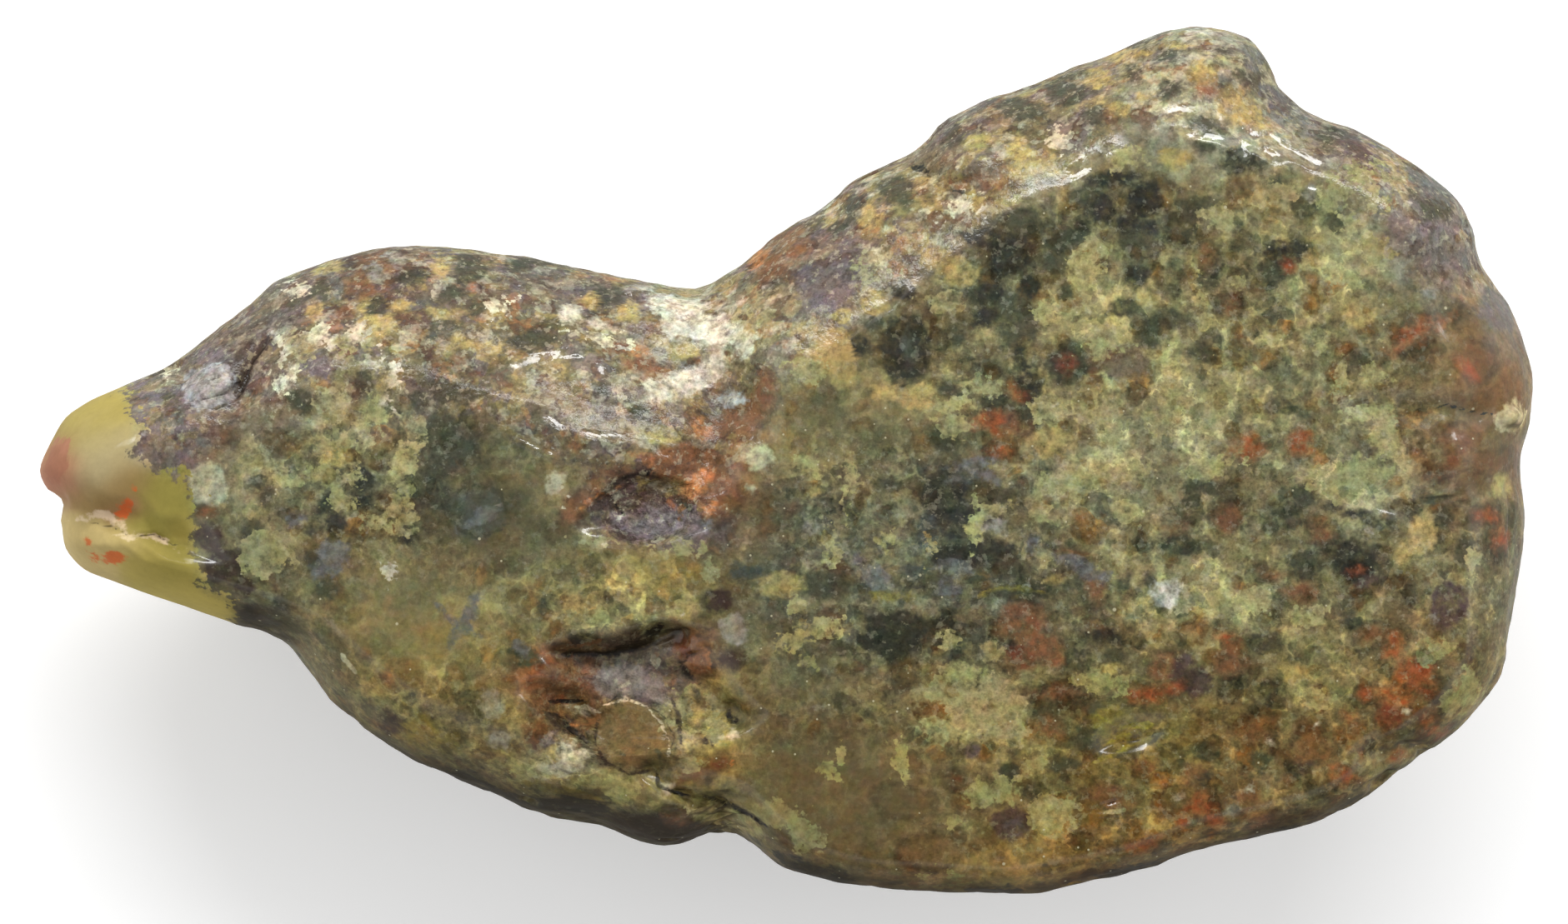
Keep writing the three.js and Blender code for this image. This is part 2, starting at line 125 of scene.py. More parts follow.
def follow(path, places):
    """How far each place lies to the left of a path seen from above, how far along it, the path's length and
    the step to the place from the path's nearest point."""
    least = np.full(len(places), 1e9)
    offset = np.zeros((len(places), 2))
    side = np.ones(len(places))
    along = np.zeros(len(places))
    length = 0.0
    for (ax, ay), (bx, by) in zip(path, path[1:]):
        dx, dy = places[:, 0] - ax, places[:, 1] - ay
        rx, ry = bx - ax, by - ay
        run = math.hypot(rx, ry)
        share = np.clip((dx * rx + dy * ry) / run**2, 0, 1)
        away = np.hypot(dx - share * rx, dy - share * ry)
        nearer = away < least
        side[nearer] = np.where(rx * dy - ry * dx > 0, 1, -1)[nearer]
        along[nearer] = length + run * share[nearer]
        offset[nearer] = np.stack([dx - share * rx, dy - share * ry], 1)[nearer]
        least = np.minimum(least, away)
        length += run
    return least * side, along, length, offset


stone_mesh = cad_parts["coprolite"].data.copy()
stone = bpy.data.objects.new("stone", stone_mesh)
bpy.context.scene.collection.objects.link(stone)

work = bmesh.new()
work.from_mesh(stone_mesh)
bmesh.ops.remove_doubles(work, verts=work.verts[:], dist=1e-7)
solid_tree = BVHTree.FromBMesh(work)
bmesh.ops.subdivide_edges(work, edges=work.edges[:], cuts=FINE_CUTS, use_grid_fill=True)
edges = work.edges[:]
middles = np.array([(edge.verts[0].co + edge.verts[1].co) / (2 * MM) for edge in edges])
fine = np.zeros(len(edges), bool)
for _, _, course in FACETS:
    fine |= abs(follow(rows(course), middles)[0]) < NEAR_FACET
for x, y, radius in rows(FINEST):
    fine |= np.hypot(middles[:, 0] - x, middles[:, 1] - y) < radius
fine &= middles[:, 2] > FINEST_ABOVE
bmesh.ops.subdivide_edges(work, edges=[edge for edge, wanted in zip(edges, fine) if wanted], cuts=1)
bmesh.ops.triangulate(work, faces=[face for face in work.faces if len(face.verts) > 3])
work.to_mesh(stone_mesh)
work.free()


def read_rows(items, name, kind, width):
    """One row of numbers for each of the mesh's points, edges or faces."""
    values = np.empty(len(items) * width, kind)
    items.foreach_get(name, values)
    return values.reshape(-1, width)


points = read_rows(stone_mesh.vertices, "co", float, 3) / MM
ends = read_rows(stone_mesh.edges, "vertices", np.int64, 2)
corners = read_rows(stone_mesh.polygons, "vertices", np.int64, 3)
resting = points[:, 2] < REST_MARGIN


def neighbour_mean(values):
    """The mean over each point's neighbours of each column of values."""
    count = np.bincount(ends.ravel(), minlength=len(points))
    columns = []
    for column in values.T:
        total = np.bincount(ends[:, 0], column[ends[:, 1]], len(points))
        total += np.bincount(ends[:, 1], column[ends[:, 0]], len(points))
        columns.append(total / count)
    return np.stack(columns, 1)


for _ in range(FACET_SMOOTHINGS):
    for share in (0.6, -0.61):  # in and out again, so that the stone keeps its size
        step = share * (neighbour_mean(points) - points)
        points += np.where(resting[:, None], 0, step)


def point_normals(positions):
    """A unit normal at each point, weighted by the area of the faces that meet there."""
    a, b, c = (positions[corners[:, i]] for i in range(3))
    face = np.cross(b - a, c - a)
    sums = [np.bincount(corners.ravel(), np.repeat(face[:, k], 3), len(points)) for k in range(3)]
    total = np.stack(sums, 1)
    return total / np.linalg.norm(total, axis=1, keepdims=True)


def grid_value(cells, seed):
    """A random number from -1 to 1 for each row of whole numbers."""
    h = cells[:, 0] * 73856093 ^ cells[:, 1] * 19349663 ^ cells[:, 2] * 83492791 ^ (seed * 2654435761)
    h = (h ^ (h >> 13)) * 1274126177 & 0xFFFFFFFF
    h = (h ^ (h >> 16)) * 2246822519 & 0xFFFFFFFF
    return ((h ^ (h >> 15)) & 0xFFFFF) / 0x7FFFF - 1


def noise(positions, size, seed, octaves=1):
    """Smooth noise from about -1 to 1, with swells of `size` mm and finer ones over them."""
    total = np.zeros(len(positions))
    weight = 1.0
    for octave in range(octaves):
        spot = positions / (size / 2**octave) + 17.3 * octave
        low = np.floor(spot).astype(np.int64)
        part = spot - low
        part = part * part * (3 - 2 * part)
        for i in (0, 1):
            for j in (0, 1):
                for k in (0, 1):
                    share = np.prod(np.where([i, j, k], part, 1 - part), axis=1)
                    total += weight * share * grid_value(low + [i, j, k], seed + octave)
        weight *= 0.5
    return total / (2 - 2 * weight)


def fade(from_, to, value):
    """0 at from_ and 1 at to, with a smooth change between."""
    share = np.clip((value - from_) / (to - from_), 0, 1)
    return share * share * (3 - 2 * share)


def inside_depth(outline, places):
    """How far each place is inside a closed outline seen from above, less than 0 outside it."""
    x, y = places[:, 0], places[:, 1]
    inside = np.zeros(len(places), bool)
    for (ax, ay), (bx, by) in zip(outline, outline[1:] + outline[:1]):
        if ay != by:
            inside ^= ((ay > y) != (by > y)) & (x < (bx - ax) * (y - ay) / (by - ay) + ax)
    return np.where(inside, 1, -1) * abs(follow(outline + outline[:1], places)[0])


def oval(places, x, y, long, wide, turn=0):
    """How far each place is from the middle of an oval seen from above, 1 on the oval itself."""
    c, s = math.cos(math.radians(turn)), math.sin(math.radians(turn))
    along = ((places[:, 0] - x) * c + (places[:, 1] - y) * s) / long
    across = ((places[:, 1] - y) * c - (places[:, 0] - x) * s) / wide
    return np.hypot(along, across)


# The rough skin: the upper slopes above the ground face. Its lower edge runs from the nose to the knob and on
# to the broad end.
SKIN = """-31 2.6, -26.5 2.9, -25.6 .6, -23.6 .4, -21.4 1.4, -18.6 1.6, -15.2 2.3, -11.7 1.8, -10.4 .8,
    -8.9 .1, -7.3 -.7, -7.9 -2.2, -6 -3.2, -4 -3, -2.5 -1.8, -1.8 .6, -.9 2.4, .6 3.6, 2.4 4.8, 3.6 5.5,
    4.8 6.9, 7.4 8.7, 11.4 11.4, 13.6 12.9, 15.5 13, 18 12.5, 20.2 12, 21.6 11.5, 24 9.6, 25.4 7.4,
    27.6 6.6, 31 6, 31 19, -31 19"""

# The nose: a cap of clear honey-coloured agate in front of the rough stone. Its edge sways below the rim.
NOSE = """-31 4, -26.4 2.9, -26 2.2, -25.7 1.2, -25.9 .3, -24.9 -.5, -23.9 -.7, -23.6 -1.7, -23.4 -2.6,
    -23.5 -3.7, -23.2 -4.4, -23.1 -5.1, -21.9 -5.6, -21.9 -6.3, -22.2 -7, -31 -7"""
SWAY_BELOW = 11  # height, mm
skin_depth = inside_depth(rows(SKIN), points)
sway = 1.6 * fade(0, 5, SWAY_BELOW - points[:, 2]) * noise(points, 4, 95, 2)
nose_depth = inside_depth(rows(NOSE), points + sway[:, None] * (1, 0.5, 0))

# Lumps, grains and hollows: x, y, half length, half width, turn in degrees, lift and how much of it is slope.
LUMPS = [
    ("clear grain", -22.95, 3.05, 1.2, 1, 10, 0.16, 0.4),
    ("pebble", -6.05, -11.4, 1.9, 1.7, 0, -0.5, 0.6),
    ("cavity floor, left", -8.3, -8.9, 1.6, 0.9, -6, -0.16, 1),
    ("cavity floor, middle", -5.6, -8.7, 1.7, 0.9, 8, -0.14, 1),
    ("facets left of the pebble", -8.7, -12, 0.9, 0.5, -25, 0.12, 0.5),
    ("right arm's floor", -3.3, -10.3, 1.1, 0.9, -20, -0.15, 0.7),
    ("rusty pit's floor", -5.2, -2.3, 2.1, 1.2, -15, -0.12, 1),
    ("rusty pit's ball", -4.8, -0.75, 0.5, 0.4, 0, 0.15, 0.8),
    ("bead by the waist", -2, 2.25, 0.45, 0.42, 0, 0.22, 0.7),
    ("cream bead", 2.9, 2.35, 0.32, 0.22, 0, 0.05, 0.8),
    ("step block", 6, 12.3, 0.8, 0.9, -20, 0.12, 0.5),
    ("cream grain", 29.05, 1.7, 0.6, 0.55, 0, 0.42, 0.75),
    ("leaf hollow", 13.3, -11, 1.2, 0.7, 14, -0.14, 0.8),
    ("mauve vug", 9.1, -14.7, 0.5, 0.45, 0, -0.15, 0.8),
]

# Where the nose's crack comes out at its tip.
NOTCH = (-29.2, -1.75)
NOTCH_DEPTH = 0.35

face_up = fade(0.15, 0.6, point_normals(points)[:, 2])
level = fade(0.78, 0.92, point_normals(points)[:, 2])
relief = np.zeros(len(points))
crack_depth = np.full(len(points), -1.0)
for _, steep, gentle, depth, course in LEDGES:
    away, along, length, _ = follow(rows(course), points)
    away = away + 0.13 * noise(points, 0.7, 5, 3)
    taper = fade(0, 0.7, along) * fade(0, 0.7, length - along)
    wall = np.where(away > 0, 1 - fade(0, steep, away), 1 - fade(0, gentle, -away))
    relief -= depth * taper * wall
    crack_depth = np.maximum(crack_depth, 1 - abs(away) / (0.6 * min(steep, gentle)) - 1.5 * (1 - taper))
for _, *middle, lift, slope in LUMPS:
    relief += lift * (1 - fade(1 - slope, 1, oval(points, *middle)))
relief *= face_up
relief -= NOTCH_DEPTH * (1 - fade(0.1, 0.75, oval(points, *NOTCH, 1, 1)))
crack_depth = np.where(face_up > 0.1, crack_depth, -1)

# The hollows with rough floors: x, y, half length and half width. The pebble in the cavity stays smooth.
CAVITY = (-6.2, -9.9, 4, 2.7)
PEBBLE = (-6.05, -11, 1.5, 1.45)
RUSTY_PIT = (-5.4, -1.9, 2.5, 1.6)
skin = fade(-1, 1, skin_depth + 0.9 * noise(points, 1.2, 8, 3)) * (nose_depth < 0)
smooth_nose = fade(-0.2, 0.5, nose_depth)
cavity = (1 - fade(0.7, 1.15, oval(points, *CAVITY))) * face_up * fade(0.85, 1, oval(points, *PEBBLE))
rusty_pit = (1 - fade(0.7, 1.1, oval(points, *RUSTY_PIT))) * face_up
hollow = np.maximum(cavity, rusty_pit)

# How uneven each kind of surface is, mm. The nose has a fifth of it.
FACE_WAVES, SKIN_GRAIN, HOLLOW_GRAIN, SIDE_GRAIN = 0.018, 0.085, 0.12, 0.1
unevenness = FACE_WAVES + SKIN_GRAIN * skin * face_up + HOLLOW_GRAIN * hollow + SIDE_GRAIN * (1 - face_up)
unevenness *= 1 - 0.8 * smooth_nose
relief += unevenness * (1.1 * noise(points, 1.7, 11, 4) + 0.4 * noise(points, 0.55, 21, 2))
relief += 0.07 * hollow * noise(points, 0.6, 23, 2)

# Small pits, left where softer grains fell out, deeper on the sides and back.
SKIN_PIT, SIDE_PIT = 0.08, 0.3  # depth, mm
pits = fade(0.62, 0.8, noise(points, 1.15, 31))
relief -= (SKIN_PIT * skin + SIDE_PIT * (1 - face_up)) * pits * (1 - smooth_nose)
points += point_normals(points) * relief[:, None]

# Places worn smooth: the pebble, the cavity's left floor and the rusty pit, each as "x y half-length
# half-width rounds".
SMOOTHED = "-6.05 -11 1.6 1.5 40, -8.8 -9.2 1.5 .8 25, -5.6 -1.1 1.8 1.1 25"
for *middle, rounds in rows(SMOOTHED):
    soft = face_up * (1 - fade(0.75, 1, oval(points, *middle)))
    for _ in range(int(rounds)):
        points += 0.8 * soft[:, None] * (neighbour_mean(points) - points)

# The facets along the edges: each is turned to the fall that sends the window's light straight up.
TO_WINDOW = np.array([-0.04, -0.445])  # rise over run towards the right and towards the window
MOST_TURN = 0.3  # how far a facet's edge may rise or sink, mm
CREST_SMOOTHINGS = 5  # rounds of smoothing along the courses before the facets are turned


def facet(width, course):
    """How fully each point lies in the facet along a course, and the step to it from the course."""
    away, along, length, offset = follow(rows(course), points)
    away = abs(away + 0.06 * noise(points, 0.6, 6, 2))
    taper = fade(-0.1, 0.3, along) * fade(-0.1, 0.3, length - along)
    worn = fade(-0.7, -0.3, noise(points, 0.5, 9, 2))
    return (1 - fade(0.7 * width, 2 * width, away)) * taper * worn, offset


polish = np.zeros(len(points))
for _, width, course in FACETS:
    polish = np.maximum(polish, facet(width, course)[0])
for _ in range(CREST_SMOOTHINGS):
    points += polish[:, None] * (neighbour_mean(points) - points)
turned = neighbour_mean(neighbour_mean(point_normals(points)))
missing = TO_WINDOW + turned[:, :2] / np.maximum(turned[:, 2:], 0.2)
for _, width, course in FACETS:
    crest, offset = facet(width, course)
    points[:, 2] += crest * np.clip(np.sum(missing * offset, 1), -MOST_TURN, MOST_TURN)
points[:, 2] = np.where(resting, 0, np.maximum(points[:, 2], 0))
stone_mesh.vertices.foreach_set("co", (points * MM).ravel())
stone_mesh.polygons.foreach_set("use_smooth", np.ones(len(stone_mesh.polygons), bool))
stone_mesh.update()

# The stone's colours, red, green and blue from 0 to 255 as they look in even light.
COLOURS = {
    "olive brown": (108, 98, 62), "brown": (102, 86, 56), "dark olive": (71, 69, 48),
    "black": (50, 49, 38), "umber": (62, 50, 38), "mauve": (106, 93, 85), "purple": (82, 66, 56),
    "blue grey": (98, 97, 84), "grey": (135, 128, 106), "web": (150, 141, 88),
    "pale green": (145, 136, 92), "cream": (190, 182, 140), "white": (190, 184, 152),
    "chalk": (172, 168, 124), "ochre": (164, 144, 82), "orange": (172, 114, 62), "rust": (112, 78, 48),
    "red": (138, 74, 40), "deep red": (98, 56, 36), "lime": (122, 110, 52), "honey": (160, 144, 73),
    "honey cream": (172, 158, 118), "pink": (164, 110, 86), "peach": (206, 184, 150),
    "teal": (66, 70, 58), "red brown": (130, 96, 58), "tan": (120, 94, 50), "grey brown": (112, 98, 68),
    "vermilion": (196, 88, 40), "ink": (26, 22, 18), "clear honey": (134, 110, 68), "moss": (79, 79, 60),
    "olive honey": (136, 126, 62), "honey brown": (118, 98, 62), "smoke": (78, 76, 58),
    "pearl": (154, 154, 136), "lilac": (120, 107, 96), "milk": (201, 199, 161), "sand": (201, 181, 127),
    "pale mauve": (128, 120, 104), "vein": (138, 130, 54), "lip cream": (180, 160, 106),
    "dun": (110, 102, 86),
}

# Soft changes of the ground colour over the face, each as "x y half-length half-width turn strength".
ZONES = {
    "olive brown": """0 0 60 60 0 .35, 3 1.2 3.4 1.4 0 1.3, -14.6 -4.6 3 2 0 .6, -16 -8.4 3 2 -40 1,
        -13.4 -11 2.8 1 -25 .8, -9.6 -4 2.4 2 0 .8, -9 -13 3 1 -20 .7""",
    "mauve": """-24.4 1.5 1.5 1.6 0 3, -20 4 3 2 30 1, -16 6.8 4 1.6 0 .8, -8 6.6 3.5 1 -12 .6,
        -8 1.8 2.4 1.2 -20 1, 1.7 7.3 2.6 1.6 35 1.2, 7 13 2.4 1 20 1, 14.8 16 2.6 .8 15 .8,
        22.4 12.2 2 1 -40 1""",
    "black": "-13.5 .3 1.1 1.7 0 3",
    "dark olive": """-14 -1.6 1 1 0 2, -12.3 -2 1.5 1.3 0 2.5, 9 -4.4 2 1 0 1.2, -17.5 -.8 3 2 0 .6,
        9 8 3.4 1.6 20 1.5, 15 9.6 3 1.6 0 .6, 7 -2.6 2.4 3 0 1, 5.4 -6 3 1.8 -10 .7,
        22.4 -3.2 2.6 1.4 -20 .6, -13.5 .6 2 2.4 0 .6, -21 -4 2 2.4 -30 .7, -5 -14.4 4 .8 -8 1.3""",
    "moss": "4.5 -6.4 4.6 2.2 0 3, 1.6 -3.4 2 2 0 1.5, 6.4 -3 2 3 0 2, 3 -9.4 3 1.4 0 1.5",
    "brown": """26.6 -2.4 1.6 3 0 1.4, -13.5 5 3 2 0 .8, 5.6 8.3 2.6 1.6 35 .7, 25 5 2 1.6 30 .8,
        24.6 -6.6 2.4 1.6 0 .6, 17 -9.4 3 2 10 .5, 20 -12 3.4 1.6 20 .8, 3 -15.6 4 1.2 -8 1,
        3 -10 3 1.6 0 1.2""",
    "grey": "25 10 2 2.4 -30 .9, 20 13.4 2.4 1.2 -30 .5, 28.7 5.7 .8 1.3 0 1.5",
    "cream": "-3.6 4.6 2.4 1.4 10 2",
    "web": """-1.2 4 1.2 2 0 1.5, -17.8 3.4 2 2.2 0 .8, -3 4.8 2.4 1.8 0 1, -.3 4.3 1.2 2.6 0 .8,
        21.5 9.4 3 1.6 -10 .7, 12 6.5 3 2.6 20 .4, 22.6 7 3 2 0 .9, 16 2.6 3 2 0 .5, 17 -5 3 1.6 -10 .6,
        27 -4.8 1 1.8 0 .5, 21 -8.4 2.4 1.4 -20 .6, -6 -6 2.6 1 0 .6, -7 -12.9 2 .5 -5 5""",
    "rust": """-2.2 .4 .8 1.4 -20 2, -.3 8.2 1.2 .8 30 1, -3.4 -1 2.4 1.8 0 .9, -7 -8.8 3 1 0 .6,
        -1.8 1.6 1.2 1.8 -40 .8, -3.6 -7.7 .6 .9 0 6, -2.9 -12.1 .6 .6 0 5, -8 -10.7 .5 .5 0 6,
        -7.6 -1.6 1 .4 40 6""",
    "pale green": """15.4 1.2 2 1.4 0 1.6, 12.6 -1 3 1.6 0 .7, 22.4 -.8 2.6 1.4 0 .8,
        7.4 -10 1.8 1.6 0 .6, -19.8 -1.4 2.2 1.8 0 .4""",
    "ochre": """-9.5 3 2 1 0 .5, 1 5.4 1.6 1.2 30 1, 7.6 10.6 3.4 2.4 35 1, -7 -5 3 1.2 0 .8,
        -14.4 -7.4 3 2 0 .6, -3.4 -12 2 1.2 0 .7, -4.1 -10.2 .7 1.2 0 5, -2.9 -10.5 .6 1.3 0 4""",
    "grey brown": """11.5 14 3 1.8 30 .8, 19 15.6 1.6 1.4 -40 .8, 3 -13 3.8 2.6 0 1.2,
        -22.4 1 2 1.2 10 .9""",
    "chalk": "16.8 14.8 2.8 2 -10 3, -8.6 -12.1 1.1 .6 20 6",
    "pale mauve": "25.8 9.6 1.6 2 -30 2, 26.6 8 1.8 1 0 1.5",
    "red brown": """28 4 1.6 2.2 0 1.6, 17.5 -12.5 3.5 2 10 .8, 27.4 -.4 2 1.4 0 .9,
        24.6 -9 2.2 1.4 30 .6""",
    "lime": "15 -12 3.6 1.8 10 .7, -5.6 -4.8 2.6 1.2 0 .9",
    "tan": "12 -15 4 1.4 5 .9, 11.4 -16 6 1 5 1.2",
    # The umber under the cavity's upper edge, in its corner and left of the pebble is painted shadow.
    "umber": "2.6 -12 4 3 0 .35, -6.6 -7.5 2.4 .5 14 7, -4.4 -8.8 .6 1 30 6, -8.6 -10.8 1 .7 -45 7",
    "red": "-8.8 -8.6 1.3 .8 0 7",
    "lilac": "-6 -9 1.3 .6 -10 8, -4.4 -2.6 1.4 .6 -10 5",
    "deep red": "-9.5 -10.3 .5 1.2 0 7",
    "honey brown": "-6 -11 1.4 1.3 0 12",
    "purple": "-4.9 -2.2 2 1 -10 6, -6 -1.5 1.4 1 20 7",
    "orange": "-3.4 -.5 1.2 .9 0 4",
}
# The same over the nose, which meets the rough stone along a sharp ragged edge.
NOSE_ZONES = {
    "honey": """-27.8 1.6 2 1.2 20 1.2, -25.3 -4 1.2 .6 -20 1.4, -23.2 -5.2 1.4 .8 -20 1.1,
        -24 -2.6 .6 .5 0 .7""",
    "honey cream": "-27.4 .3 1.3 1.2 0 1.2, -25.4 .3 .8 .6 0 .5",
    "pink": "-29 -.3 .8 1 0 1.4, -26.2 -1.9 .8 .4 0 .7",
    "clear honey": "-26.4 -.9 1.1 .9 20 1.4, -27.2 -1.5 1.4 .5 0 1.2",
    "olive honey": "-24.4 -1.4 1.3 1 0 1.4, -25.2 -2.3 1.2 .5 0 .9, -24.4 -4 1.2 .7 -20 1",
    "lip cream": "-28.3 -3.2 1.2 .8 -15 1.4, -26.4 -3.5 1 .5 -15 .9",
}


def linear(colour):
    """A colour's red, green and blue as amounts of light."""
    parts = np.array(COLOURS[colour]) / 255
    return np.where(parts <= 0.04045, parts / 12.92, ((parts + 0.055) / 1.055) ** 2.4)


# The marks bend with slow swells of the stone, so that none has a drawn outline, and most on its lower sides.
bent = points.copy()
for axis in range(3):
    bent[:, axis] += 0.3 * noise(points, 1.4, 41 + axis, 2) + 0.13 * noise(points, 0.5, 51 + axis)
for axis in (0, 1):
    bent[:, axis] += 3 * fade(0, 6, SWAY_BELOW - points[:, 2]) * noise(points, 5, 91 + axis, 2)


def soft_mix(zones):
    """The colour at each point of zones that run into one another."""
    total = np.zeros((len(points), 3))
    weight = np.zeros(len(points))
    for colour, text in zones.items():
        for *middle, strength in rows(text):
            share = strength * np.exp(-1.2 * oval(bent, *middle) ** 2) + 1e-9
            total += share[:, None] * linear(colour)
            weight += share
    return total / weight[:, None]


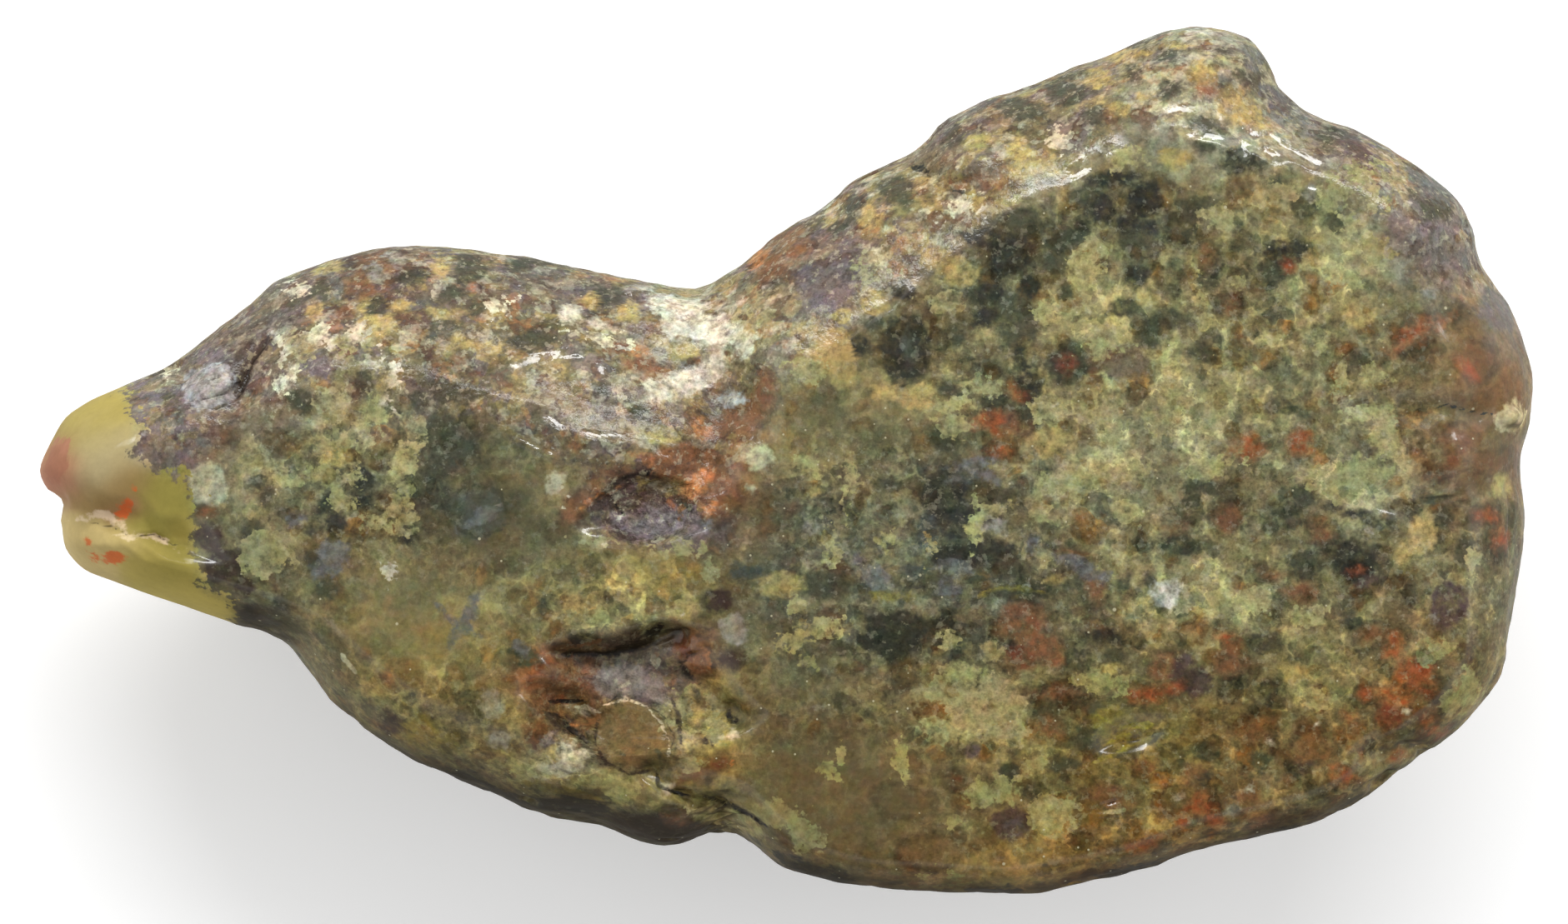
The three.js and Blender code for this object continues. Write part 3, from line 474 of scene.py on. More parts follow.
# Marks, each as "x y half-length half-width turn". A mark without a turn lies nearly square.
# The lowest layer: grains and cells that show through the polish.
CELLS = {
    "dark olive": """-12.3 6 .35 .3, -13.6 5.35 .7 .35, -9.3 5.4 .5 .3, -10 4.7 1 .55, -7.2 6.5 .5 .3,
        -6.55 6.55 .3 .35, -12.6 7.6 .7 .6, -10 7.8 1.2 .3, -13.4 6.7 .4 .35, -14.9 7.4 .5 .4,
        -18.5 6.7 .5 .45, -19.6 6.3 .4 .3, -16.4 6.1 .4 .5, -19.3 2.3 .5 .6, -16.9 3.1 .35 .5,
        -13.6 1.1 .8 .8, -13.7 -.3 .6 .6, -12.9 .4 .6 .5, -14 -1.6 .6 .5, -13 2.7 1.2 .5, -14.6 2.3 .4 .4,
        -7.2 2.9 .3 .3, -5.7 1.9 .4 .35, -24.4 2.5 .25 .25, -24.8 1.5 .25 .25, -21.3 -2.8 .5 .4,
        -20.2 -4.2 .35 .35, -20.7 -1.5 .4 .4, -18.7 -4 .4 .3, -18.3 -5 .5 .4, -19.2 -1.05 .25 .2,
        -18.8 -2.7 .3 .3, -16 -2.8 .2 .2, -20 -5.7 .4 .4, -9.75 -5.7 .25 .45, -10.3 -7.8 .6 .5,
        11.3 6.7 .4 .4, 3.6 5.3 .4 .35, 6.7 5.1 .35 .3, 6.2 5.1 .2 .2, 6.9 4.6 .3 .3, 7.3 6.8 .8 .25,
        9.8 1.9 .4 .6, 11.2 8.7 .8 .5, 10.8 7.8 .5 .4, 13.4 6 .8 .45, 14.2 4.9 .4 .5, 13.8 8.8 .6 .5,
        11.2 3.9 .8 .9, 6.4 2.8 .4 .4, 6.5 .9 .6 .5, 8.2 2.3 .6 .35, 14.3 8.9 .9 .4, 19.5 7.5 .6 .5,
        14.5 5 .5 .8, 15.5 5.5 .8 .4, 16.8 4.2 .8 .4, 19.6 2.2 .5 .25, 20.4 1.9 .6 .2, 21.2 5.4 .6 .15,
        4 -.85 .3 .2, 7.5 -.8 1.2 .2, 8.6 -1.3 .7 .3, 10.6 -2.7 .4 .3, 8.8 -4.3 .8 .5, 6.2 -5 .6 .5,
        4.6 -4.7 .4 .2, 8.4 -5.3 .9 .2 15, 10.5 -5.3 .8 .25, 2.3 -7.6 .5 .35, 1.6 -5 1 .6, .7 -6.3 .3 .25,
        13 -7.7 .5 .4, 13.6 -4.9 .4 .3, 17.4 -1.2 .8 .4, 15.9 -3.5 .8 .45, 20.6 -1.5 .45 .5,
        20 -2.1 .5 .3, 25.5 -1.7 .5 .3, 26.3 -2.4 .4 .4, 27 -3.6 .4 .6, 20.7 -4.2 .7 .6, 15.6 -7.5 .6 .3,
        19 -7.2 .8 .5, 22.5 -6.6 .8 .4, 9.4 14 1 .5, 11.3 14.7 .8 .5, 11.4 15.4 .7 .2, 13.8 15.3 .4 .3,
        14.2 16.6 .6 .25, 6.7 13.1 .35 .6, 4.5 10.7 .8 .6, 2.6 10.2 .5 .4, 2.2 9.2 .4 .4, 12 10.6 .6 .5,
        10.5 11.1 .5 .2, 9 9.4 1.2 .6, 15.3 16.1 .5 .35, 17.5 16.3 .4 .25, 18.7 15.3 .8 .4,
        15.4 14.6 .5 .4, 17 13.3 .8 .4, 16.9 12.4 .8 .3, 16.5 10.3 .9 .4, 16 9.7 .9 .3, 18.3 9.5 .3 .3,
        20.7 10 .7 .6, 22 9.3 .4 .4, 19.4 10.9 .5 .3, 26 10 .8 .5, 24.9 10.6 .3 .3, 21.9 13 .5 .4,
        8.9 -12.4 .5 .5, 9.8 -13.2 .5 .4, 9.1 -11.7 .3 .3, 11.2 -12.2 .7 .4, 11.9 -10.9 .4 .5,
        12.5 -10.1 .3 .3, 16.7 -11.7 .6 .5, 16.6 -12.9 .5 .4, 18.9 -12 .5 .5, 16.3 -1.1 .5 .4,
        9.3 5.5 .9 1.2, 12.4 13.7 .6 .5, 14.6 -4.9 .4 .3""",
    "black": """-13.7 .9 .5 .5, -15.1 -3.1 .4 .3, -18.2 -1.8 .35 .5, -16.8 -.6 .5 .5, -17 -1.6 .6 .4,
        -17.8 -2.6 .4 .5, -21.4 -6.2 .5 .4, 4.8 4.4 1.05 1.35, 3 4.5 .5 .5, 4.7 6.8 .7 .4, 8.2 6.5 .6 .5,
        8.3 5.6 1 .5, 9.4 4.3 .35 .8, 9.8 2.9 .5 .7, 8.5 8.6 1.3 .6, 9 8 .8 .7, 9.8 7 .5 .5,
        13.9 7.4 .6 .5, 12.55 7.65 .2 .3, 6.5 -1.5 1 1.3, 6.8 -2.5 .9 .8, 7.5 -3.8 1.8 .6,
        12.8 -6.9 .8 .4, 13 11.2 1.1 .25, 12.5 9.9 .7 .7, 13.7 9.4 .5 .5, 14.3 10.4 .7 .8, 14.5 9.1 .4 .5,
        18.1 11.8 .9 .5, 4.4 -7 1.3 1, 22.6 -4 .9 .8, 20 8.2 .9 .5, 21.9 -1.9 .9 .25 -20,
        23.4 -2.3 .8 .25 -10, -9.5 -13.8 .9 .35, -8.2 -13.7 1.3 .4""",
    "umber": """-23 -3 .7 .6, -22.4 -4.2 1 .7, -21.6 -5.1 .4 .4, -2.6 -5.6 .8 .5, -2.1 -8 .8 .5,
        8 -2.2 .5 .5, -5 -14.5 1.5 .5, -15.7 -10.5 .5 .4, -16.9 7.9 .8 .3, -21.6 3.6 .5 1.3 -25""",
    "purple": """26.3 -5.7 .8 .9, 9 -14.6 .9 .7, 20.9 -12.1 .6 .4, 22.9 12.3 1 .3 -40, 15.8 -8.2 .35 .7,
        16.4 -9 .5 .6, 23.2 -4.7 .5 .3, 6.8 12.2 .4 .3, -6.3 -.6 .6 .4, -9.3 -11.1 .3 .3, 19.8 14.2 .5 .6,
        -5.9 -1.5 1 .5""",
    "mauve": """1.2 7.1 .8 .6, 2.6 7.5 .7 .5, 2.2 6.6 .6 .4, 1.5 6.3 .8 .5, -22.8 4.3 .8 .35,
        -18.6 3.7 .7 .5, -5.9 5.3 .35 .4, -5.4 6.3 .4 .3, -5.5 -2.5 1.6 .8, 7.4 -11.6 .3 .3,
        -5.5 -9.5 .6 .4""",
    "dun": "24.6 9.3 .6 .6, 26.5 9.2 .6 .5, 26.5 8 1.1 .6, 28.5 6 1 .8",
    "teal": "-1.6 -4.4 .6 .4, 5.3 -4.4 .7 .3, -14 5 .25 .25, 6.8 -.8 .8 .5, 5.6 -3 .5 .8",
    "lime": "13 -10.5 .9 .5, 13.8 -11.2 .8 .25, 4.2 -5.4 .8 .3, -14.5 -11 .7 .8, -13.4 -11.4 .6 .4",
    "ochre": """-18.3 7.8 .6 .4, -18.8 5.9 .3 .5, -16.9 6.2 .35 .5, -16.3 5.4 .7 .4, -13.8 7.8 .4 .6,
        -15.2 6 .5 .3, -13.8 6 .5 .25, -7.8 6.3 .5 .3, -6.3 6 .4 .4, -3.8 4.4 .7 .4, -13 4.4 .8 .4,
        -11.8 4.4 .7 .4, -4.7 1 .7 .4, -17.8 .2 .6 .4, 3.7 6.4 .5 .5, 2.5 5.8 .4 .4, 2 4.3 1 .8,
        2.5 3.2 .6 .5, 5.3 2.5 .8 .5, 4 2.7 .5 .4, 10.6 .8 1 .5, 14.3 6.4 .5 .3, 22.6 5.7 .6 .5,
        6 8 .6 .5, 7 7.5 .6 .4, 1.4 -1.4 .3 .15, -.2 -5 .8 .6, 10.8 -4.8 .3 .15, 12.9 -8.4 .4 .3,
        25.3 -3 .6 .8, 24.7 -3.9 .4 .4, 28.6 -1 .5 .5, 20 -8.4 .6 .4, 7.5 12.7 .5 .4, 9.3 12.3 .5 .6,
        9.4 11.7 .6 .5, 10.3 11.8 .6 .4, 12.5 15.2 .5 .5, 13.7 16.2 .9 .25, 12.2 14.1 .6 .2,
        13.4 13.9 .35 .3, 3.3 9.7 .5 .5, 1.8 9.5 .4 .3, 15.5 16.5 .5 .2, 16.6 15.5 .6 .5, 17.8 14.4 .6 .5,
        18.3 14 .4 .4, 18.3 13.6 1 .3 -20, 14.5 14.4 .4 .2, 15.5 12 .5 .3, -8.4 -5.8 .5 .5,
        -9 -11.7 .5 .3, -3.8 -10 .5 .5""",
    "chalk": "-23 -.9 .7 .8, 3.8 8.1 .5 .4",
    "grey brown": "13.3 3.9 1.2 .7, -20.5 1.7 1.2 .5, 6 12 1 .6 -20",
    "moss": "-12.2 -2.1 1.2 1",
}
# Pale web between the cells, with cream fillings. It lies over the cells and the cores.
WEB = {
    "web": """-15.9 2.9 .4 .6, -17.6 4.6 .5 .4, -18.1 .6 .5 .4, -17 .9 .6 .5, -16.4 1.6 .6 .5,
        -15 .5 .4 .6, -19.5 -.8 .8 .25, -18.3 -.7 .8 .4, -17.5 -.6 .5 .4, -17.8 -1.6 .4 .3,
        -16.2 -2.2 .5 .3, -15.9 -2.7 .5 .3, -21.4 -2 .3 .3, -20.7 -3.7 .9 1, -20.9 -4.5 .5 .4,
        -15.2 -.2 .5 .8, -14.9 -1.2 .3 .7, -15.5 -2.2 .6 .4, -14.8 -2.6 .2 .5, -7.5 -3.3 .6 .3,
        -4.5 -3.5 .5 .3, -3 -4.2 .3 .6, -7.6 -6.3 .6 .3, 10.3 6 .6 .5, 12.3 8.3 .5 .4, 12 7.3 .5 .9,
        11.3 5.8 .6 .5, 12.7 4.9 1.1 .7, 11.8 5.2 .5 .4, 12.5 2 .6 .5, 13 1 .6 .4, 10.5 2 .5 .4,
        6.9 1.2 .5 .4, 6.8 2.1 .8 .3, 7.9 2.9 .6 .3, 6.5 6.2 .8 .5, .8 3.6 .6 .6, 22.3 7.3 .7 .4,
        23.5 8.3 .6 .5, 21.5 8.5 .6 .5, 16.6 6.5 .2 .5, 16.7 5.5 .3 .4, 17.8 7 .3 .3, 19.7 4.9 .3 .3,
        17.4 4.8 .15 .3, 22.3 3.5 .2 .6, 21.5 4.5 .3 .3, 24 1 .6 .7, 22.9 1.7 .5 .4, 23.5 3.2 .5 .4,
        15.5 2.5 .8 .7, 16.8 1.8 .7 .8, 15 1.5 .5 .6, .9 0 .5 .4, 4 -3.2 .3 .35, 5.7 -3.4 .3 .35,
        7.7 -2.5 .25 .7, 8.3 -2 .5 .4, 9.9 -1.9 .9 .4, 10.4 -2.2 .4 .3, 10.3 -3.9 .2 .4, .6 -7 .6 .5,
        1.6 -6.7 .7 .3, .3 -5.8 .4 .4, .8 -7.8 .1 .3, 6.5 -7.2 .3 .4, 6.2 -8.7 .6 .4, 8.2 -7.6 .4 .3,
        7.2 -8.6 .8 .5, 13.5 -2 .6 .4, 22.5 -.7 1.6 .9, 11.4 -1 1.2 .5, 13.4 -.6 1 .5, 17 -.3 1 .4,
        18.9 -5.6 .7 .6, 21.3 -6 .4 .3, 20.3 -6.7 .4 .3, 26 -7.5 .7 .3, 27.5 -4.1 .3 .4, 12.5 -9 .9 .4,
        10.7 -14.3 1 .9, 9.9 -12.3 .5 .3, 8 -13.3 .9 .5, 21 -9.5 .8 .4, 27.2 -9.2 .6 .8, 26.5 -9.6 .4 .4,
        8.7 10.2 .4 .25, 13.5 12 .7 .5, 17.5 9.5 .8 .5, 19.5 10.5 .7 .4, 22 10.7 .8 .6, 22.5 9.3 .4 .6,
        23.3 10.2 .6 .5, 24.1 11.4 .3 1 -30, 23 11.6 .6 .35, -10.6 -12.6 .5 .4, -6.5 -13.3 .6 .3,
        -4 -9.2 .6 .3, -3.7 -12 .5 .4, 1.6 -12.3 .5 .25, 2.2 -11.7 .15 .25, 6.7 -14.4 .3 .2,
        6.4 -16.7 .5 .3, -7.5 -12.8 .9 .35, 4.8 -11.6 .3 .8, 2.55 -1.2 .25 .8 -5, 1.65 -3.2 .2 .6 5""",
    "pale green": """-19.2 4.5 .6 .5, -18 2.3 .8 .6, 3.5 7.6 .8 .5, 7.7 -9.7 1.6 1.2, 5.9 -10.6 .6 .4,
        5.9 -9.2 .4 .5, 8.5 -10.8 .9 .3, 13.9 -6 .5 .5, 16 -5.6 .7 .5, 16.9 -4.8 .5 .4, -.2 -14.1 .8 .5,
        .8 -15 .9 .6, -2 -14.3 1.4 .25 -14, -14.6 1.2 .4 .4, -2.8 -10.5 .3 .8, 12.7 4.9 .6 .4,
        -4.3 -10 .6 .7""",
    "cream": """-19.9 3.8 .35 .7, -18.4 4.8 .8 .35, -17.3 4.9 .6 .35, -19.6 6.9 .4 .3, -24.5 3.6 .25 .25,
        -11.4 6.1 .4 .2, -7.3 4.9 .9 .35, -15.8 2.8 .3 .8, -15.6 -4.4 .3 .4, 2 10 .3 .3, 7.2 10 1 .4 15,
        11 12.8 .5 .3, 11.9 12.2 .4 .25""",
}
# Cores and grains of rust and red jasper, over the cells and under the web.
CORES = {
    "rust": """-17 6.9 .7 .5, -17.5 5.8 .4 .4, -16.2 7.9 .9 .35, -15.9 6.8 .3 .3, -6.6 4.4 .8 .4,
        -5.8 3.9 .8 .4, -4.9 3.5 .6 .4, -.5 7.8 .8 .7, .6 8.3 .5 .5, 0 8.9 .8 .5, -2.8 1.3 .6 .5,
        -2.6 2.6 .3 .3, -.9 2.7 .5 .8, -1.6 1.7 .7 .8, -2.6 -1.8 .6 .7, -4 .1 .8 .3, -12.8 3.9 .3 .3,
        -13.8 3.8 .3 .3, -8.4 .3 .15 .3, -3 -1.2 .8 .9, -4 -.2 1.3 .8, -2.7 -2.1 .5 .5,
        -7.6 -1.5 1.2 .3 45, -6.6 -.3 .6 .25, 18.2 .5 .7 .4, 26.8 .7 .6 .4, 28.1 0 .9 .3, 26.3 -.1 .5 .4,
        17.7 6 .3 .3, 16.9 8 .3 .3, 9.5 -6.6 1 .8, 10.4 -7.6 .8 .7, 17.8 -2.3 .55 .5, 15.5 -2.8 .4 .25,
        21.5 -3.1 .4 .3, 21.3 -2.6 .3 .2, 20.5 -5.4 .6 .5, 19.5 -4.6 .4 .2, 27.6 4 .7 .6, 17.7 -8.3 .9 .5,
        15 -8.3 .5 .5, 18.5 -10.8 .6 .4, 18.5 -13.4 .4 .6, 19 -14.2 .6 .3, 16.2 -12.6 .5 .4,
        14.3 -12.2 .4 .4, 10.9 -9.4 .8 .3, 10.5 -10.7 .5 .4, 12.4 -5.2 .4 .6, 7.6 11.2 .6 .25,
        8.6 11 .5 .3, 16.8 14.9 .6 .35, -8.5 -8.4 .9 .35, -8.3 -9 .8 .3, -9.5 -9 .5 .5, -9.75 -9.8 .3 .5,
        -9.7 -10.7 .25 .5, -9.1 -10.3 .3 .3, -3.6 -8.2 .4 .3, -7.9 -10.5 .5 .4, -3.8 -12.6 .6 .4,
        -4.3 -14.3 .5 .3, 12.9 -13.4 .8 .5, 21 -11.6 .8 .6, 23.3 -7.1 .6 .4, 17.9 -7.4 .4 .4,
        8.8 1.4 .7 .4""",
    "brown": "4.8 -13.7 1 .6, 5.8 -15.6 1 .5",
    "orange": """-1 8 .6 .5, -4.3 -.15 1 .5, -3.3 -.9 .8 .8, -2.9 -1.9 .5 .6, -3.1 1.3 .5 .5,
        -6 4.1 .5 .4""",
    "red": """-12.4 6.9 .2 .2, -23 -2 .3 .2, 8.3 1.4 .8 .45, 8.5 .3 .3 .15, 9.3 2.6 .3 .2,
        20.15 7.75 .2 .2, 25.3 5 1.1 .28 35, 18.3 .45 .8 .5 15, 20.6 .7 .5 .5, 27.4 3.8 .5 .5,
        11.5 -3.75 .4 .1, 22.6 -4.3 .2 .1, 28 -2.3 .4 .2, 28.6 -3.2 .4 .3, 17.6 -6.9 .4 .25,
        24.2 -7.2 .35 .35, 24.3 -7.7 .4 .3, 25.2 -8.4 .65 .5, 25.6 -9 .5 .4, 24.3 -9.5 .6 .35,
        23.4 -9.4 .4 .3, 22.6 -10.1 .25 .2, 25.6 -10.3 .25 .2, 26 -10.9 .4 .25, 15.5 -9.2 .4 .35,
        14.8 -9.5 .4 .3, 14.2 -9.4 .4 .3, 16.6 -13.8 .5 .3, 15.8 -14.3 .3 .35, 22.3 -12.7 .5 .3,
        24.2 -11.8 .4 .2, 17.1 -14.3 .4 .3, 14.2 -15.3 .5 .3""",
    "deep red": """-1.7 1.5 .5 .5, 11 3.9 .35 .4, 12.3 3.45 .1 .1, 9.4 -7.9 .8 .5, 24.2 -10.2 .5 .4,
        6.9 -12.8 .3 .3, 7.1 -15.55 .08 .08, -3.8 -7.5 .4 .5, -2.7 -12 .35 .3""",
    "honey brown": """-6.3 -10.8 1.5 1.3, -4.6 -11.3 .3 .6, -2 2.25 .4 .4, -4.8 -.8 .45 .35,
        -5.7 -11.4 .5 .4""",
}
# The highest of these layers: clear lenses, white crystals and chips, and painted glints.
GRAINS = {
    "blue grey": """-12.2 -2.2 .9 .35 22, -19.3 -2.3 .3 .3, -17.9 -4 .6 .8, -18.5 -4.5 .5 .3,
        -20.7 -6.4 .4 .25, -24.4 1.3 .35 .4, -23.2 .8 .3 .3, -12.8 -6.5 .25 1.2 -31, -12.9 -6.6 .2 1.1 50,
        -10.4 -7.5 .3 .4, -17.9 6.7 .35 .45, 3.7 -4.6 .8 .4 -25, 3 -3.8 .2 .4, 7.4 -.2 .9 .3,
        6.8 -.8 .5 .25, 8.3 -.7 .4 .2, 6.8 -4.4 .6 .4, 6.5 -5.1 .4 .3, 9.8 -3.3 .3 .5,
        11.8 -4.3 1.2 .4 -20, 18.8 16 .5 .5, 19.5 14.5 .5 .5, 25.8 10.9 1.1 .45 -35, 20.5 13.6 .5 .25""",
    # The thin grey mark below the cavity's second ledge is a painted glint.
    "grey": """-16.3 7.5 .3 .4, -15.5 8.1 .4 .3, 1.1 -2.7 .35 .3, 1.7 -9.8 .3 .15, 17.8 16.8 .6 .3,
        25.4 11.4 .3 .2, 20.9 10.6 .2 .3, 25.7 6.6 .4 .3, 17.7 -13.8 .22 .25, -11.8 -9.7 .5 .5,
        -11.4 -11.2 .5 .5, -2 -6.8 .6 .6, 8.5 -2.7 .5 .3, -8.2 -9.85 .6 .1""",
    "smoke": "4.85 4.4 .4 .7",
    "pearl": "-22.9 3.05 1.1 .95 10, -2.05 2.3 .42 .36",
    "peach": "-2.1 -10.9 .4 .15",
    "sand": "29.05 1.7 .65 .6",
    "milk": """-3.4 3.4 1.3 .55 25, -2.8 3.8 .7 .45 20, -4.9 2.85 .9 .4 15, -3.9 5.7 1 .8,
        -2.7 5.1 .9 .6, -4.9 6.3 .6 .35, -8.6 5.8 .55 .45, -7.5 5.4 .5 .35, -1.7 4.8 .7 .6""",
    "chalk": "-1 .2 .6 .5, -3.3 -14 .5 .3, -1.4 -1.1 .25 .25, -9.2 -1 .5 .45",
    # The white marks are white specks and chips, some of them painted glints; the three on the facets left of
    # the pebble are painted glints.
    "white": """15.2 -5.2 .6 .5, 16.6 17.1 .4 .25, -8.4 -12.1 .7 .4 40, -9.3 -12.35 .5 .22 -10,
        -8.6 -11.5 .4 .2 50, -4.3 -6 .12 .12, -5.05 -7.05 .12 .12, -4.65 -13.1 .25 .25,
        -20.45 5.05 .2 .25, -16.15 .45 .12 .12, 10.7 2.15 .1 .1, 10.15 3.1 .1 .1, 9.5 -5.15 .12 .2,
        23.2 -2.65 .1 .1, 25.65 -6.2 .1 .1, 15.65 -13.4 .16 .1, 18.5 -12.95 .1 .1, 21.15 -10.7 .1 .1,
        24.7 -9.95 .1 .1, 19.35 -12.15 .1 .1, 19.3 -11.05 .1 .1""",
}
# Marks in the nose: red spots in the clear agate and pink chips along its crack.
NOSE_MARKS = {
    "vermilion": """-26.5 -2.1 .35 .25, -26.3 -1.8 .3 .2, -27.7 -3.4 .15 .15, -27.6 -3.85 .2 .13,
        -26.8 -4.05 .4 .25, -25.9 -1.15 .1 .1""",
    "pink": "-29.1 -.2 .45 .8, -28.9 .5 .3 .4",
    "peach": """-28.2 -2.45 .4 .12, -27.2 -2.2 .5 .14, -26.1 -3.05 .4 .12, -25 -3.25 .5 .09 -15,
        -26.6 -2.6 .3 .1 -40""",
}

# Lines and bands over all of these, among them painted shadows and painted glints, each as "half-width: x y,
# x y", with semicolons between them.
STROKES = {
    "lilac": """.5: -7.6 -8.9, -6.6 -8.7, -5.4 -8.9, -4.9 -9.4; .45: -6.3 -2.7, -5.2 -2.5, -4 -2.5,
        -3.2 -2.7; .3: -9.6 -11.3, -9.3 -11""",
    # The white strokes are painted glints: on the cavity's floor, the facets left of the pebble, the rusty
    # pit and the edge of the ground face.
    "white": """.06: -7.1 -9.1, -6.6 -8.7, -6.2 -8.5; .05: -6.7 -9.2, -6.2 -8.9, -5.8 -8.6;
        .06: -6.4 -9.3, -5.8 -9, -5.2 -8.9; .07: -9.3 -12.3, -8.7 -12, -8.2 -11.7; .06: -9 -12.7,
        -8.4 -12.4, -8 -12; .06: -6.7 -2.4, -6.4 -2.2; .06: -8.7 -9.9, -8 -9.85, -7.3 -10.1;
        .04: -10.1 1.1, -9.4 .6, -9 .2""",
    "rust": """.2: -9.6 -8.5, -8.8 -8.4, -7.8 -8.6; .14: -9.5 -9.2, -8.6 -9.2, -7.8 -9.3; .25: -3.6 -7.2,
        -3.4 -7.9, -3.1 -8.4; .2: -8.3 -10.5, -7.9 -10.9; .12: -8.2 -2.1, -7.3 -1.45, -6.4 -1;
        .1: -9 -7.5, -8 -7.4, -7.3 -7.15""",
    "orange": """.1: -3.15 -7.6, -2.95 -8.3; .1: -8.2 -1.95, -7.3 -1.35; .08: -2.2 -11.4, -2.05 -12,
        -2.25 -12.6; .16: -8.4 -10.6, -7.9 -10.7""",
    # The ink strokes are painted shadow under the cavity's upper edge, its corner and its second ledge, in
    # the pits and along the pebble, the lower notch and the rusty pit's edge.
    "ink": """.1: -8.8 -7.75, -7.6 -7.8, -6.6 -7.65; .22: -6.9 -7.7, -6.1 -7.5, -5.5 -7.1, -4.9 -6.7;
        .07: -9.4 -9.65, -8.6 -9.65, -8 -9.6; .16: -4.2 -8.1, -3.7 -8.7; .24: -2.3 -10.1, -2 -10.4;
        .08: -5.1 -12.4, -5 -13, -4.4 -13.25, -3.8 -13.4; .07: -3.2 -13.4, -2.2 -13.75, -1.3 -14.2,
        -.6 -14.7; .13: -5.8 -.6, -5.3 -.4; .13: -6.7 -1.8, -6.4 -2.2; .13: -9.3 -10.1, -8.7 -10.5,
        -7.8 -11.3""",
    # Most umber strokes are painted shade: along the nose's crack, the crevice above the nose, the slit by
    # the waist, the ledges and hollows of the cavity and the rusty pit, and the lower rim.
    "umber": """.1: -4.5 -9.5, -4.2 -10.3, -4.1 -11.3; .07: -7.45 -10.4, -7.55 -11.3, -7.1 -12.1,
        -6.2 -12.5, -5.2 -12.4; .22: -6.9 -2.9, -6 -3.1; .3: -9.4 -10.2, -8.8 -10.6; .2: -3.2 -11.2,
        -2.8 -11.5; .5: -6.6 -14.5, -4.6 -15.1, -3 -15; .12: -28.4 -2.75, -27.2 -2.6, -26.2 -3.05,
        -25.2 -3.12, -24.2 -3.42, -23.6 -3.6; .16: -20.5 5, -20.9 4.4, -21.3 3.8, -21.5 3.2, -21.9 2.6;
        .1: -7.1 -2.4, -6.4 -2.9; .08: -4.5 1.5, -4.2 1.1, -3.95 .7; .3: -7.8 -1.9, -7 -1.6""",
    # The black strokes along the lower rim are partly its own dark colour and partly painted shade; those in
    # the groove above the middle bulge and under the step are painted shade.
    "black": """.3: -14.8 -12.3, -12.4 -13, -10.4 -13.8; .4: -9.8 -13.7, -8.4 -13.75, -7.2 -13.9;
        .3: -.3 -15.9, 1.2 -16.5, 2.6 -16.8; .25: 7.4 -17.2, 9.4 -17.2; .25: 12.6 -16.6, 15.4 -16.3;
        .25: 18.6 -15.3, 20.6 -14.8; .35: -21.6 -7.2, -20 -8, -18.9 -9.2; .05: 25.6 2.05, 26.5 2.15,
        27.3 1.9, 28.2 1.8; .14: 5 11.7, 5.6 11.55, 6.4 11.1; .08: 6.7 10.7, 7.1 10.6, 7.3 10.3""",
    # The peach stroke is a painted highlight along the pebble's upper and right edge.
    "peach": ".05: -7.2 -9.8, -6.3 -9.55, -5.5 -9.85, -4.9 -10.5, -4.55 -11.3, -4.65 -12.1",
    "cream": """.05: -8.3 -.5, -8.45 -1.2, -8.9 -2; .08: -17.7 -7.7, -16.9 -8.8; .08: -4.4 -13.1,
        -4.9 -12.9""",
    "vein": """.12: 12.5 -10.2, 13.4 -10.6, 14.6 -10.6; .1: 12.2 -12.1, 13 -11.8, 13.7 -11.45,
        14.6 -11.15; .07: 12.6 -11.4, 13.4 -11, 14.3 -10.9""",
    "pale green": """.3: -3.7 -13.7, -2.8 -14.15, -1.8 -14.55, -.9 -14.9; .14: -2.75 -10.5, -2.85 -11.2;
        .2: -3 -9.6, -2.4 -9.8; .08: 12.4 -14.1, 13.5 -13.95""",
    "lime": ".1: 7.6 -5.5, 8.4 -5.15, 9.3 -5.1, 10.4 -5.35; .16: -10.4 -12.9, -9 -13.2, -7 -13.6",
    "grey": ".04: -12.95 -2.5, -12.4 -2, -11.6 -1.8, -11.3 -1.9",
    "dark olive": """.1: -13.2 -2, -12.9 -1.3, -12.1 -1, -11.3 -1.3, -11 -2, -11.3 -2.8, -12.1 -3.1,
        -12.9 -2.8, -13.2 -2; .14: 7.4 -5.7, 8.3 -5.3, 9.4 -5.25, 10.6 -5.5; .12: 13 -11.9, 14.4 -11.3,
        15.2 -10.8; .2: 12.2 -10.6, 12.5 -11.6; .1: 7 -4.9, 7.8 -4.7, 8.9 -4.9; .16: -6.5 -11.7,
        -6.35 -11.8; .16: -5.1 -11.6, -5 -11.8; .2: -3.5 -9.3, -3.4 -9.5""",
}
STROKE_EDGE = 0.25  # depth at the middle of a stroke, mm
OUTSIDE_HEIGHT = 8  # the height given to places outside the stone's outline, mm
MARK_MARGIN = 1.2  # how far outside a mark its depth is still worked out, mm


def top_height(x, y):
    """The height of the stone's top at a place seen from above."""
    hit = solid_tree.ray_cast(Vector((x * MM, y * MM, 0.05)), Vector((0, 0, -1)))[0]
    return hit.z / MM if hit else OUTSIDE_HEIGHT


